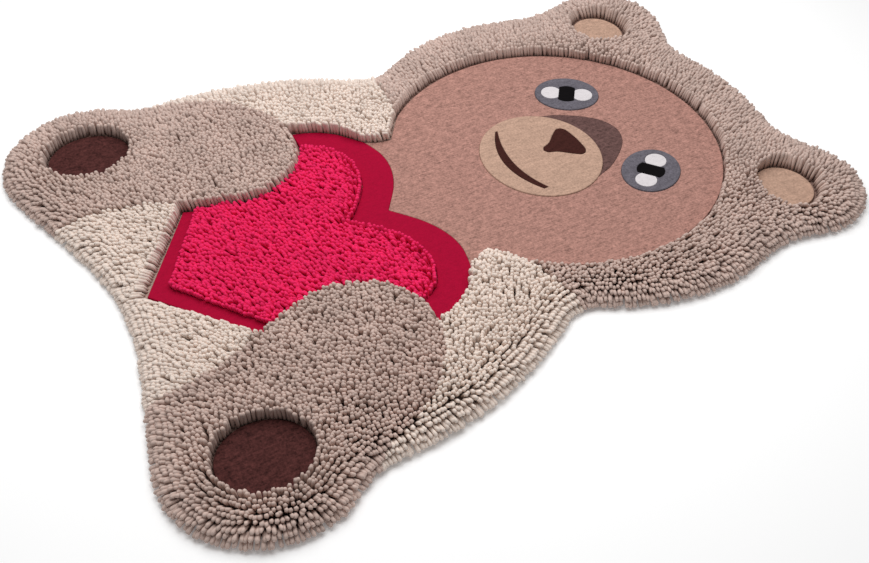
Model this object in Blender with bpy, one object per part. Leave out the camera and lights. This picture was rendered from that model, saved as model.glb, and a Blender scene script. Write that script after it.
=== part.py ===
"""Bear shaped kids rug, tufted on one shaped backing cloth.

Long shag makes the head, the body and the legs, a middle-length pile makes the heart, and a low cut pile
makes the face, the inner ears, the soles and the border of the heart. Metres. X runs across the bear, Y from
its feet to its head and Z up from the floor. The origin is on the floor under the middle of the rug.
"""

import math
import random
from collections import namedtuple

import bmesh
import bpy
from mathutils import Vector
from mathutils.geometry import delaunay_2d_cdt

# Heights above the floor, and the room between two pieces.
BACKING_TOP = 0.003
LOW_PILE_TOP = 0.012
RAISED_PILE_TOP = 0.014
HEART_PILE_TOP = 0.027
SHAG_TOP = 0.037
GAP = 0.0004

# How each pile is shaped: its rounded shoulder, and its lumps with their spacing. The low pile is cut flat,
# and the snout and the eyes stand a little proud of the face.
Pile = namedtuple("Pile", "top shoulder_width shoulder_drop lump_spacing lump_height")
SHAG = Pile(SHAG_TOP, 0.009, 0.007, 0.026, 0.0035)
HEART_PILE = Pile(HEART_PILE_TOP, 0.008, 0.005, 0.024, 0.0025)
LOW_PILE = Pile(LOW_PILE_TOP, None, 0.0, None, 0.0)
RAISED_PILE = Pile(RAISED_PILE_TOP, None, 0.0, None, 0.0)
BACKING = Pile(BACKING_TOP, None, 0.0, None, 0.0)
BACKING_INSET = 0.002
SHOULDER_LUMP_LOW = 0.2
SHOULDER_LUMP_HIGH = 0.8
SHOULDER_ROOM = 0.9
LUMP_SPREAD = 0.15

# The locks that lean out of the rim and come to rest on the floor.
LOCKS = 280
LOCK_REACH = 0.024
LOCK_REACH_SPREAD = 0.003
LOCK_ROOT_LOW = 0.009
LOCK_ROOT_HIGH = 0.024
LOCK_ROOT_SPREAD = 0.0015
LOCK_TIP_HEIGHT = 0.006
LOCK_TIP_HALF_WIDTH = 0.0034
LOCK_TIP_SHARE = 0.3
LOCK_TURN_EDGES = 4

# Where the pile stands at the rim, without its locks: the right half, from the crown down to the hem.
# Angles are in degrees, anticlockwise from +X.
RimArc = namedtuple("RimArc", "part centre_x centre_y radius_x radius_y start end")
RIM_ARCS = (
    RimArc("crown", 0.0, 0.2415, 0.365, 0.315, 90, 68),
    RimArc("ear", 0.265, 0.490, 0.090, 0.090, 132, -38),
    RimArc("cheek", 0.0, 0.2415, 0.365, 0.315, 22, -34),
    RimArc("body side", 0.0, -0.310, 0.414, 0.484, 43, -3),
    RimArc("foot", 0.345, -0.460, 0.120, 0.120, 52, -107),
    RimArc("hem", 0.0, -1.011, 0.5025, 0.5025, 73, 90),
)
RIM_SMOOTHING = 4

# Where the seams between the zones meet the rim, right half.
CROWN_SEAM = (0.165, 0.543)
TEMPLE_SEAM = (0.337, 0.400)
NECK_SEAM = (0.302, 0.043)
HIP_SEAM = (0.414, -0.354)
FOOT_SEAM = (0.465, -0.460)
HEM_SEAM = (0.210, -0.548)

# The face is a circle that runs down between the shoulders. Angles of the seams round it.
FACE_CENTRE = (0.0, 0.2125)
FACE_RADIUS = 0.277
FACE_RISE = 0.266
CROWN_ANGLE = 62
TEMPLE_ANGLE = 30
NECK_ANGLE = -42
SHOULDER_TIP = ((0.176, 0.004), (0.157, -0.010), (0.160, -0.030))

# The heart: outer edge of its border, edge of its pile, and where both pass under the legs.
BORDER_CLEFT = (0.0, -0.0975)
BORDER_LOBE = ((0.050, -0.062), (0.095, -0.0445), (0.135, -0.0425))
BORDER_SHOULDER = (0.172, -0.052)
BORDER_SIDE = ((0.218, -0.086), (0.240, -0.118))
PILE_CLEFT = (0.0, -0.1655)
PILE_LOBE = ((0.035, -0.132), (0.080, -0.103), (0.132, -0.0945), (0.180, -0.114))
PILE_TIP = (0.0, -0.4525)
BORDER_TIP = (0.0, -0.4895)

# The legs: the knee is round, and the leg's inner edge runs from it down to the hem.
KNEE_CENTRE = (0.235, -0.2625)
KNEE_RADIUS = 0.115
KNEE_AT_BORDER = 82
KNEE_AT_PILE = 104
KNEE_END = 208
PILE_END = (0.143, -0.355)
BORDER_END = (0.152, -0.3765)
SHIN = ((0.178, -0.4175),)
ANKLE = (0.193, -0.4595)
HEEL = ((0.201, -0.505),)
THIGH = ((0.302, -0.1675), (0.360, -0.212), (0.390, -0.2725), (0.403, -0.325))
SOLE_CENTRE = (0.350, -0.4595)
SOLE_RADII = (0.062, 0.067)
EAR_INNER_CENTRE = (0.257, 0.4745)
EAR_INNER_RADII = (0.050, 0.043)

# The face's own pieces.
MUZZLE_CENTRE = (0.0, 0.1825)
MUZZLE_RADII = (0.108, 0.097)
BRIDGE_FOOT = 32
BRIDGE_SIDE = ((0.081, 0.263), (0.0675, 0.285), (0.048, 0.309), (0.027, 0.3255))
BRIDGE_TOP = (0.0, 0.3325)
NOSE_TOP = (0.0, 0.2575)
NOSE_SIDE = ((0.030, 0.2545), (0.0385, 0.2435), (0.030, 0.230), (0.014, 0.212), (0.007, 0.1965))
NOSE_BOTTOM = (0.0, 0.1925)
SNOUT_MIDDLE_X = -0.006
MOUTH_HALF_WIDTH = 0.082
MOUTH_MIDDLE_Y = 0.1255
MOUTH_RISE = 0.0225
MOUTH_SLOPE = -0.004
MOUTH_STROKE = 0.014
MOUTH_LEFT_END_STROKE = 0.004
MOUTH_RIGHT_END_STROKE = 0.008
EYE_CENTRE = (0.121, 0.3145)
EYE_RADII = (0.055, 0.0465)
EYE_TILT = 127
PUPIL_RADIUS = 0.0225
GLINT_OFFSET = 0.0268
GLINT_RADIUS = 0.0175
GLINT_CUT = 0.0135

SEAM_STEP = 0.016
FACE_STEP = 0.012
SMALL_STEP = 0.006
SAME_POINT = 1e-6
SHARPEST_CORNER = 0.3
SHARP_EDGE_ANGLE = 50

# What an edge of an outline borders on, unless it holds the number of the lock that grows from it.
OPEN = -1
SAME_PILE = -2

LUMP_SEED = 11
LOCK_SEED = 5

# Colours as seen in daylight, 0 to 255, and the roughness of the yarn.
YARNS = {
    "taupe": ((178, 158, 145), 0.95),
    "cream": ((222, 208, 195), 0.95),
    "rose_brown": ((186, 136, 122), 0.95),
    "tan": ((214, 176, 150), 0.95),
    "bridge_brown": ((112, 84, 80), 0.95),
    "dark_brown": ((74, 38, 36), 0.95),
    "grey": ((112, 112, 120), 0.95),
    "black": ((16, 14, 16), 0.9),
    "crimson": ((184, 14, 54), 0.85),
    "raspberry": ((224, 30, 80), 0.9),
    "backing_cloth": ((205, 196, 180), 0.9),
}


def on_ellipse(centre, radii, degrees):
    angle = math.radians(degrees)
    return (centre[0] + radii[0] * math.cos(angle), centre[1] + radii[1] * math.sin(angle))


def arc(centre, radii, start, end, step=SEAM_STEP):
    """Points along an ellipse from one angle to another, both ends included."""
    sweep = math.radians(abs(end - start)) * sum(radii) / 2
    count = max(2, math.ceil(sweep / step))
    return [on_ellipse(centre, radii, start + (end - start) * i / count) for i in range(count + 1)]


def even(points, count):
    """The open line through these points, cut into equal lengths."""
    reach = [0.0]
    for a, b in zip(points, points[1:]):
        reach.append(reach[-1] + math.dist(a, b))
    out = []
    at = 0
    for i in range(count + 1):
        want = reach[-1] * i / count
        while at < len(points) - 2 and reach[at + 1] < want:
            at += 1
        share = (want - reach[at]) / (reach[at + 1] - reach[at])
        out.append(tuple(Vector(points[at]).lerp(Vector(points[at + 1]), share)))
    return out


def line(*points, step=SEAM_STEP):
    """A straight or broken line, each stretch cut into steps."""
    out = [points[0]]
    for a, b in zip(points, points[1:]):
        out += even((a, b), max(1, round(math.dist(a, b) / step)))[1:]
    return out


def curve(*points, step=SEAM_STEP):
    """A smooth line through all these points."""
    ends = [Vector(points[0]) * 2 - Vector(points[1]), Vector(points[-1]) * 2 - Vector(points[-2])]
    knots = [ends[0]] + [Vector(p) for p in points] + [ends[1]]
    out = [points[0]]
    for before, a, b, after in zip(knots, knots[1:], knots[2:], knots[3:]):
        count = max(1, round((b - a).length / step))
        for i in range(1, count + 1):
            t = i / count
            bend = 2 * a + (b - before) * t + (2 * before - 5 * a + 4 * b - after) * t**2
            out.append(tuple((bend + (3 * a - before - 3 * b + after) * t**3) / 2))
    return out


def flip(points):
    return [(-x, y) for x, y in points]


def back(points):
    return points[::-1]


def nearest(points, place):
    return min(range(len(points)), key=lambda i: math.dist(points[i], place))


def make_rim():
    """The line on which the outermost pile stands, clockwise from the crown's middle, with soft notches."""
    half = []
    for row in RIM_ARCS:
        centre = (row.centre_x, row.centre_y)
        half += arc(centre, (row.radius_x, row.radius_y), row.start, row.end, SMALL_STEP)
    half = even(half, LOCKS // 2)
    rim = half + back(flip(half))[1:-1]
    for _ in range(RIM_SMOOTHING):
        around = zip(rim[-1:] + rim[:-1], rim, rim[1:] + rim[:1])
        rim = [((a[0] + 2 * b[0] + c[0]) / 4, (a[1] + 2 * b[1] + c[1]) / 4) for a, b, c in around]
    return rim


def lock_tips(rim):
    """For the lock on each edge of the rim: where its tip is, which way is sideways, and its half width."""
    rng = random.Random(LOCK_SEED)
    outward = []
    for a, b in zip(rim, rim[1:] + rim[:1]):
        outward.append(Vector((a[1] - b[1], b[0] - a[0])).normalized())
    tips = []
    for i, (a, b) in enumerate(zip(rim, rim[1:] + rim[:1])):
        span = range(i - LOCK_TURN_EDGES, i + LOCK_TURN_EDGES + 1)
        out = sum((outward[j % len(rim)] for j in span), Vector((0, 0))).normalized()
        reach = LOCK_REACH + rng.uniform(-LOCK_REACH_SPREAD, LOCK_REACH_SPREAD)
        tips.append(((Vector(a) + Vector(b)) / 2 + out * reach, Vector((out.y, -out.x))))
    locks = []
    for i, (tip, side) in enumerate(tips):
        room = min(abs((tips[j % len(tips)][0] - tip).dot(side)) for j in (i - 1, i + 1))
        locks.append((tip, side, min(LOCK_TIP_HALF_WIDTH, room * LOCK_TIP_SHARE)))
    return locks


def joined(points):
    """The stretch as a seam with pile of the same height, which has no shoulder."""
    return [(x, y, SAME_PILE) for x, y in points]


def loop_of(*stretches):
    """One closed outline from stretches that meet end to end. Each point says what its edge borders on."""
    out = []
    for stretch, following in zip(stretches, stretches[1:] + stretches[:1]):
        if math.dist(stretch[-1][:2], following[0][:2]) > SAME_POINT:
            raise ValueError(f"stretches don't meet at {stretch[-1]} and {following[0]}")
        out += [p if len(p) == 3 else (*p, OPEN) for p in stretch[:-1]]
    return out


def mirrored(loop):
    """The same outline on the other side of the bear, with the locks of that side."""
    edges = [LOCKS - 1 - p[2] if p[2] >= 0 else p[2] for p in loop]
    points = [(-x, y) for x, y, _ in loop]
    return [(*points[-1 - i], edges[-2 - i]) for i in range(len(loop) - 1)] + [(*points[0], edges[-1])]


def area_of(loop):
    return sum(a[0] * b[1] - b[0] * a[1] for a, b in zip(loop, loop[1:] + loop[:1])) / 2


def inset(loop, distance):
    """The outline moved inwards by a small distance, or outwards where it is negative."""
    sense = 1 if area_of(loop) > 0 else -1
    out = []
    for before, here, after in zip(loop[-1:] + loop[:-1], loop, loop[1:] + loop[:1]):
        first = (Vector(here[:2]) - Vector(before[:2])).normalized()
        second = (Vector(after[:2]) - Vector(here[:2])).normalized()
        inward = Vector((-first.y - second.y, first.x + second.x)).normalized() * sense
        corner = max(SHARPEST_CORNER, abs(inward.dot(Vector((-first.y, first.x)))))
        moved = Vector(here[:2]) + inward * distance / corner
        out.append((moved.x, moved.y, *here[2:]))
    return out


def is_inside(x, y, loop):
    inside = False
    for a, b in zip(loop, loop[1:] + loop[:1]):
        if (a[1] > y) != (b[1] > y) and x < a[0] + (y - a[1]) / (b[1] - a[1]) * (b[0] - a[0]):
            inside = not inside
    return inside


def edge_distance(x, y, loops):
    """How far a point is from the nearest edge of these outlines."""
    nearest_edge = math.inf
    for loop in loops:
        for a, b in zip(loop, loop[1:] + loop[:1]):
            run = (b[0] - a[0], b[1] - a[1])
            share = ((x - a[0]) * run[0] + (y - a[1]) * run[1]) / (run[0] ** 2 + run[1] ** 2)
            share = min(1.0, max(0.0, share))
            away = math.dist((x, y), (a[0] + run[0] * share, a[1] + run[1] * share))
            nearest_edge = min(nearest_edge, away)
    return nearest_edge


def covers(x, y, loops):
    return is_inside(x, y, loops[0]) and not any(is_inside(x, y, hole) for hole in loops[1:])


def shoulder_points(loops, pile, rng):
    """Points just inside the edges that aren't seams, where the pile reaches nearly its full height."""
    out = []
    for number, loop in enumerate(loops):
        line_inside = inset(loop, pile.shoulder_width * (-1 if number else 1))
        for i, (x, y, edge) in enumerate(line_inside):
            if edge == SAME_PILE or line_inside[i - 1][2] == SAME_PILE:
                continue
            if covers(x, y, loops) and edge_distance(x, y, loops) > pile.shoulder_width * SHOULDER_ROOM:
                drop = pile.lump_height * rng.uniform(SHOULDER_LUMP_LOW, SHOULDER_LUMP_HIGH)
                out.append((x, y, pile.top - drop))
    return out


def lump_points(loops, pile, rng):
    """Points at uneven heights over the rest of the pile, in rows that are set off from each other."""
    xs = [p[0] for p in loops[0]]
    ys = [p[1] for p in loops[0]]
    row_step = pile.lump_spacing * math.sqrt(3) / 2
    out = []
    for row in range(math.ceil((max(ys) - min(ys)) / row_step)):
        for column in range(math.ceil((max(xs) - min(xs)) / pile.lump_spacing)):
            aside = column + row % 2 / 2 + rng.uniform(-LUMP_SPREAD, LUMP_SPREAD)
            x = min(xs) + aside * pile.lump_spacing
            y = min(ys) + (row + rng.uniform(-LUMP_SPREAD, LUMP_SPREAD)) * row_step
            height = pile.top + rng.uniform(-1, 1) * pile.lump_height
            room = pile.shoulder_width + pile.lump_spacing / 2
            if covers(x, y, loops) and edge_distance(x, y, loops) > room:
                out.append((x, y, height))
    return out


def cap(mesh, loops, extra):
    """Closes the first loop with triangles through the extra points, and leaves the other loops open."""
    verts = []
    outlines = []
    for loop in loops:
        numbers = range(len(verts), len(verts) + len(loop))
        outlines.append(list(numbers if area_of([v.co for v in loop]) > 0 else reversed(numbers)))
        verts += loop
    verts += [mesh.verts.new(p) for p in extra]
    flat = [Vector(v.co[:2]) for v in verts]
    _, _, faces, origin, _, held_by = delaunay_2d_cdt(flat, [], outlines, 1, SAME_POINT)
    for face, holders in zip(faces, held_by):
        if holders == [0]:
            mesh.faces.new([verts[origin[i][0]] for i in face])


def wall(mesh, left, right):
    """Fills the strip between two upright columns of points."""
    for low, high in zip(left, left[1:]):
        mesh.faces.new((low, high, right[0]))
    for low, high in zip(right, right[1:]):
        mesh.faces.new((left[-1], high, low))


def grow_lock(mesh, left, right, lock):
    """One lock: it leaves the wall between two columns, narrows, and rests on the floor with its tip."""
    tip, side, half_width = lock
    wall(mesh, left[:2], right[:2])
    wall(mesh, left[2:], right[2:])
    root = (left[1], right[1], right[2], left[2])
    sense = 1 if (right[1].co - left[1].co).xy.dot(side) > 0 else -1
    corners = ((-1, 0.0), (1, 0.0), (1, LOCK_TIP_HEIGHT), (-1, LOCK_TIP_HEIGHT))
    end = []
    for way, height in corners:
        place = tip + side * (way * sense * half_width)
        end.append(mesh.verts.new((place.x, place.y, height)))
    for i in range(4):
        j = (i + 1) % 4
        mesh.faces.new((root[i], root[j], end[j], end[i]))
    mesh.faces.new(end)


def columns_of(mesh, loop, bottom, pile, rng):
    """The upright columns of the side wall. At the rim each has the two points where the locks begin."""
    columns = []
    for i, (x, y, edge) in enumerate(loop):
        edges = (edge, loop[i - 1][2])
        top = pile.top if edges == (SAME_PILE, SAME_PILE) else pile.top - pile.shoulder_drop
        heights = [bottom, top]
        if max(edges) >= 0:
            low = LOCK_ROOT_LOW + rng.uniform(-LOCK_ROOT_SPREAD, LOCK_ROOT_SPREAD)
            high = LOCK_ROOT_HIGH + rng.uniform(-LOCK_ROOT_SPREAD, LOCK_ROOT_SPREAD)
            heights = [bottom, low, high, top]
        columns.append([mesh.verts.new((x, y, z)) for z in heights])
    return columns


def yarn(name):
    """The finish of one yarn."""
    found = bpy.data.materials.get(name)
    if found:
        return found
    colour, roughness = YARNS[name]
    material = bpy.data.materials.new(name)
    material.use_nodes = True
    shader = material.node_tree.nodes["Principled BSDF"]
    linear = [((c / 255 + 0.055) / 1.055) ** 2.4 if c > 10 else c / 255 / 12.92 for c in colour]
    shader.inputs["Base Color"].default_value = (*linear, 1)
    shader.inputs["Roughness"].default_value = roughness
    shader.inputs["Metallic"].default_value = 0
    return material


def tuft(name, pile, colour, outline, holes=(), locks=(), bottom=BACKING_TOP + GAP):
    """One zone of pile as its own object: a slab with lumps on top and, at the rim, locks."""
    rng = random.Random(f"{LUMP_SEED} {name}")
    loops = [inset(outline, GAP / 2)] + [inset(hole, -GAP / 2) for hole in holes]
    mesh = bmesh.new()
    columns = [columns_of(mesh, loop, bottom, pile, rng) for loop in loops]
    for loop, around in zip(loops, columns):
        for (_, _, edge), left, right in zip(loop, around, around[1:] + around[:1]):
            if edge >= 0:
                grow_lock(mesh, left, right, locks[edge])
            else:
                wall(mesh, left, right)
    extra = shoulder_points(loops, pile, rng) if pile.shoulder_width else []
    extra += lump_points(loops, pile, rng) if pile.lump_spacing else []
    cap(mesh, [[column[0] for column in around] for around in columns], [])
    cap(mesh, [[column[-1] for column in around] for around in columns], extra)
    bmesh.ops.recalc_face_normals(mesh, faces=mesh.faces)
    middle = Vector((sum(p[0] for p in loops[0]), sum(p[1] for p in loops[0]), 0)) / len(loops[0])
    bmesh.ops.translate(mesh, vec=-middle, verts=mesh.verts)
    data = bpy.data.meshes.new(name)
    mesh.to_mesh(data)
    mesh.free()
    data.materials.append(yarn(colour))
    data.shade_smooth()
    data.set_sharp_from_angle(angle=math.radians(SHARP_EDGE_ANGLE))
    piece = bpy.data.objects.new(name, data)
    piece.location = middle
    piece.parent = bpy.data.objects["bear_rug"]
    bpy.context.scene.collection.objects.link(piece)


def both_sides(name, pile, colour, outline, holes=(), locks=()):
    tuft(f"{name}_right", pile, colour, outline, holes, locks)
    tuft(f"{name}_left", pile, colour, mirrored(outline), [mirrored(hole) for hole in holes], locks)


def ellipse(centre, radii, step=SEAM_STEP):
    """A closed ellipse."""
    return loop_of(arc(centre, radii, 0, 360, step))


def on_face(degrees):
    """A point of the face's outline, which is a circle that is flattened a little above its middle."""
    height = FACE_RISE if 0 < degrees < 180 else FACE_RADIUS
    return on_ellipse(FACE_CENTRE, (FACE_RADIUS, height), degrees)


def face_arc(start, end):
    """Points along the face's outline from one angle to another, both ends included."""
    count = math.ceil(math.radians(end - start) * FACE_RADIUS / SEAM_STEP)
    return [on_face(start + (end - start) * i / count) for i in range(count + 1)]


def seams(rim):
    """The lines that two zones share, right half, each running from the inside out or from the top down."""
    face_point = {angle: on_face(angle) for angle in (CROWN_ANGLE, TEMPLE_ANGLE, NECK_ANGLE)}
    knee = (KNEE_RADIUS,) * 2
    at_border = on_ellipse(KNEE_CENTRE, knee, KNEE_AT_BORDER)
    at_pile = on_ellipse(KNEE_CENTRE, knee, KNEE_AT_PILE)
    knee_end = on_ellipse(KNEE_CENTRE, knee, KNEE_END)
    at_rim = (CROWN_SEAM, TEMPLE_SEAM, NECK_SEAM, HIP_SEAM, FOOT_SEAM, HEM_SEAM)
    corner = {place: rim[nearest(rim, place)] for place in at_rim}
    return {
        "crown": line(face_point[CROWN_ANGLE], corner[CROWN_SEAM]),
        "temple": line(face_point[TEMPLE_ANGLE], corner[TEMPLE_SEAM]),
        "neck": line(face_point[NECK_ANGLE], corner[NECK_SEAM]),
        "shoulder": curve(face_point[NECK_ANGLE], *SHOULDER_TIP, BORDER_SHOULDER),
        "border_lobe": curve(BORDER_CLEFT, *BORDER_LOBE, BORDER_SHOULDER),
        "border_side": curve(BORDER_SHOULDER, *BORDER_SIDE, at_border),
        "pile_lobe": curve(PILE_CLEFT, *PILE_LOBE, at_pile),
        "pile_side": line(PILE_END, PILE_TIP),
        "border_tip": line(BORDER_END, BORDER_TIP),
        "knee_top": arc(KNEE_CENTRE, knee, KNEE_AT_BORDER, KNEE_AT_PILE),
        "knee": arc(KNEE_CENTRE, knee, KNEE_AT_PILE, KNEE_END) + line(knee_end, PILE_END)[1:],
        "knee_foot": line(PILE_END, BORDER_END),
        "shin": curve(BORDER_END, *SHIN, ANKLE),
        "heel": curve(ANKLE, *HEEL, corner[HEM_SEAM]),
        "thigh": curve(at_border, *THIGH, corner[HIP_SEAM]),
        "sole_outer": line(on_ellipse(SOLE_CENTRE, SOLE_RADII, 0), corner[FOOT_SEAM]),
        "sole_inner": line(on_ellipse(SOLE_CENTRE, SOLE_RADII, 180), ANKLE),
    }


def rim_stretch(rim, start, end):
    """The rim between two corners, clockwise, with the number of the lock on each edge."""
    first = nearest(rim, start)
    last = nearest(rim, end)
    count = (last - first) % len(rim)
    numbers = [(first + i) % len(rim) for i in range(count + 1)]
    return [(*rim[i], i) for i in numbers]


def opposite(point):
    return (-point[0], point[1])


def make_backing(rim):
    """The cloth that all the yarn is punched into."""
    outline = inset([(x, y, OPEN) for x, y in rim[::2]], BACKING_INSET)
    tuft("backing", BACKING, "backing_cloth", outline, bottom=0.0)


def make_head(rim, seam, locks):
    """The shag of the crown, the ears and the cheeks, and the low pile in the ears."""
    crown = loop_of(
        rim_stretch(rim, opposite(CROWN_SEAM), CROWN_SEAM),
        joined(back(seam["crown"])),
        face_arc(CROWN_ANGLE, 180 - CROWN_ANGLE),
        joined(flip(seam["crown"])),
    )
    tuft("crown", SHAG, "taupe", crown, (), locks)
    ear = loop_of(
        rim_stretch(rim, CROWN_SEAM, TEMPLE_SEAM),
        joined(back(seam["temple"])),
        face_arc(TEMPLE_ANGLE, CROWN_ANGLE),
        joined(seam["crown"]),
    )
    ear_inner = ellipse(EAR_INNER_CENTRE, EAR_INNER_RADII)
    both_sides("ear", SHAG, "taupe", ear, [ear_inner], locks)
    both_sides("ear_inner", LOW_PILE, "tan", ear_inner)
    cheek = loop_of(
        rim_stretch(rim, TEMPLE_SEAM, NECK_SEAM),
        joined(back(seam["neck"])),
        face_arc(NECK_ANGLE, TEMPLE_ANGLE),
        joined(seam["temple"]),
    )
    both_sides("cheek", SHAG, "taupe", cheek, (), locks)


def make_body(rim, seam, locks):
    """The cream shag at both sides and under the heart."""
    side = loop_of(
        rim_stretch(rim, NECK_SEAM, HIP_SEAM),
        joined(back(seam["thigh"])),
        back(seam["border_side"]),
        back(seam["shoulder"]),
        joined(seam["neck"]),
    )
    both_sides("body_side", SHAG, "cream", side, (), locks)
    bottom = loop_of(
        rim_stretch(rim, HEM_SEAM, opposite(HEM_SEAM)),
        joined(back(flip(seam["heel"]))),
        joined(back(flip(seam["shin"]))),
        flip(seam["border_tip"]),
        back(seam["border_tip"]),
        joined(seam["shin"]),
        joined(seam["heel"]),
    )
    tuft("body_bottom", SHAG, "cream", bottom, (), locks)


def make_legs(rim, seam, locks):
    """The shag of the legs and the feet, and the low pile of the soles."""
    leg = loop_of(
        rim_stretch(rim, HIP_SEAM, FOOT_SEAM),
        joined(back(seam["sole_outer"])),
        arc(SOLE_CENTRE, SOLE_RADII, 0, 180),
        joined(seam["sole_inner"]),
        joined(back(seam["shin"])),
        back(seam["knee_foot"]),
        back(seam["knee"]),
        back(seam["knee_top"]),
        joined(seam["thigh"]),
    )
    both_sides("leg", SHAG, "taupe", leg, (), locks)
    foot = loop_of(
        rim_stretch(rim, FOOT_SEAM, HEM_SEAM),
        joined(back(seam["heel"])),
        joined(back(seam["sole_inner"])),
        arc(SOLE_CENTRE, SOLE_RADII, 180, 360),
        joined(seam["sole_outer"]),
    )
    both_sides("foot", SHAG, "taupe", foot, (), locks)
    sole = loop_of(arc(SOLE_CENTRE, SOLE_RADII, 0, 180), arc(SOLE_CENTRE, SOLE_RADII, 180, 360))
    both_sides("sole", LOW_PILE, "dark_brown", sole)


def make_heart(seam):
    """The heart's pile, and the border round it where the legs don't cover it."""
    border_top = loop_of(
        back(flip(seam["border_side"])),
        back(flip(seam["border_lobe"])),
        seam["border_lobe"],
        seam["border_side"],
        seam["knee_top"],
        back(seam["pile_lobe"]),
        flip(seam["pile_lobe"]),
        back(flip(seam["knee_top"])),
    )
    tuft("heart_border_top", LOW_PILE, "crimson", border_top)
    border_tip = loop_of(
        seam["knee_foot"],
        seam["border_tip"],
        back(flip(seam["border_tip"])),
        back(flip(seam["knee_foot"])),
        flip(seam["pile_side"]),
        back(seam["pile_side"]),
    )
    tuft("heart_border_tip", LOW_PILE, "crimson", border_tip)
    pile = loop_of(
        seam["pile_lobe"],
        seam["knee"],
        seam["pile_side"],
        back(flip(seam["pile_side"])),
        back(flip(seam["knee"])),
        back(flip(seam["pile_lobe"])),
    )
    tuft("heart_pile", HEART_PILE, "raspberry", pile)


def bridge_arch():
    """The arch of the bridge, from where it meets the muzzle on the right to where it does on the left."""
    foot = on_ellipse(MUZZLE_CENTRE, MUZZLE_RADII, BRIDGE_FOOT)
    return curve(foot, *BRIDGE_SIDE, BRIDGE_TOP, *back(flip(BRIDGE_SIDE)), opposite(foot), step=FACE_STEP)


def nose_loop():
    """A rounded triangle that points down."""
    half = [NOSE_TOP, *NOSE_SIDE, NOSE_BOTTOM]
    around = curve(*half, *back(flip(NOSE_SIDE)), NOSE_TOP, step=SMALL_STEP)
    return loop_of([(x + SNOUT_MIDDLE_X, y) for x, y in around])


def mouth_loop():
    """A smile: a shallow curve whose stroke narrows towards its ends, more so at the left one."""
    upper = []
    lower = []
    count = 2 * round(MOUTH_HALF_WIDTH / SEAM_STEP)
    for i in range(count + 1):
        share = 2 * i / count - 1
        middle = MOUTH_MIDDLE_Y + MOUTH_SLOPE * share + MOUTH_RISE * share**2
        end_stroke = MOUTH_LEFT_END_STROKE if share < 0 else MOUTH_RIGHT_END_STROKE
        half = (MOUTH_STROKE + (end_stroke - MOUTH_STROKE) * share**2) / 2
        x = SNOUT_MIDDLE_X + share * MOUTH_HALF_WIDTH
        upper.append((x, middle + half))
        lower.append((x, middle - half))
    return loop_of(upper, [upper[-1], lower[-1]], back(lower), [lower[0], upper[0]])


def eye_point(along, across):
    """A point in the right eye, measured along the line through its two glints and across it."""
    turn = math.radians(EYE_TILT)
    x = EYE_CENTRE[0] + along * math.cos(turn) - across * math.sin(turn)
    y = EYE_CENTRE[1] + along * math.sin(turn) + across * math.cos(turn)
    return (x, y)


def pupil_loop():
    """The right eye's pupil with the patch for a glint at both of its ends, three round shapes in one."""
    open_angle = math.degrees(math.acos((GLINT_OFFSET - GLINT_CUT) / GLINT_RADIUS))
    pupil_angle = math.degrees(math.asin(GLINT_CUT / PUPIL_RADIUS))
    glint = arc((GLINT_OFFSET, 0), (GLINT_RADIUS,) * 2, open_angle - 180, 180 - open_angle, SMALL_STEP)
    side = arc((0, 0), (PUPIL_RADIUS,) * 2, 90 - pupil_angle, 90 + pupil_angle, SMALL_STEP)
    half = [eye_point(*p) for p in glint + side]
    other_half = [eye_point(-p[0], -p[1]) for p in glint + side]
    return loop_of(half + other_half + half[:1])


def make_face(seam):
    """The low pile of the face and neck, and the features that are tufted into it."""
    arch = bridge_arch()
    around_below = arc(MUZZLE_CENTRE, MUZZLE_RADII, 180 - BRIDGE_FOOT, 360 + BRIDGE_FOOT, FACE_STEP)
    around_above = arc(MUZZLE_CENTRE, MUZZLE_RADII, BRIDGE_FOOT, 180 - BRIDGE_FOOT, FACE_STEP)
    eye = loop_of([eye_point(*place) for place in arc((0, 0), EYE_RADII, 0, 360, FACE_STEP)])
    face = loop_of(
        back(face_arc(NECK_ANGLE, 180 - NECK_ANGLE)),
        seam["shoulder"],
        back(seam["border_lobe"]),
        flip(seam["border_lobe"]),
        back(flip(seam["shoulder"])),
    )
    snout = loop_of(arch, around_below)
    tuft("face", LOW_PILE, "rose_brown", face, [snout, eye, mirrored(eye)])
    nose = nose_loop()
    mouth = mouth_loop()
    tuft("muzzle", RAISED_PILE, "tan", loop_of(around_above, around_below), [nose, mouth])
    tuft("nose", RAISED_PILE, "dark_brown", nose)
    tuft("mouth", RAISED_PILE, "dark_brown", mouth)
    tuft("bridge", LOW_PILE, "bridge_brown", loop_of(arch, back(around_above)))
    pupil = pupil_loop()
    both_sides("eye", RAISED_PILE, "grey", eye, [pupil])
    both_sides("pupil", RAISED_PILE, "black", pupil)


def main():
    for old in list(bpy.data.objects):
        bpy.data.objects.remove(old, do_unlink=True)
    whole = bpy.data.objects.new("bear_rug", None)
    bpy.context.scene.collection.objects.link(whole)
    rim = make_rim()
    locks = lock_tips(rim)
    seam = seams(rim)
    make_backing(rim)
    make_head(rim, seam, locks)
    make_body(rim, seam, locks)
    make_legs(rim, seam, locks)
    make_heart(seam)
    make_face(seam)


main()
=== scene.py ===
"""Bear shaped kids rug: its yarn, pile by pile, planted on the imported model.

Long felted strands make the head, the body and the legs, shorter ones make the heart, and low cut pile
makes the face, the soles, the inner ears and the border of the heart. Metres, with the rug on Z = 0.
"""

import functools
import math
from collections import namedtuple

import bpy
import numpy as np
from bpy.props import FloatProperty, FloatVectorProperty, PointerProperty
from bpy.types import Operator, Panel, PropertyGroup
from mathutils import Matrix, Vector
from mathutils.geometry import delaunay_2d_cdt
from mathutils.kdtree import KDTree


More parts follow.
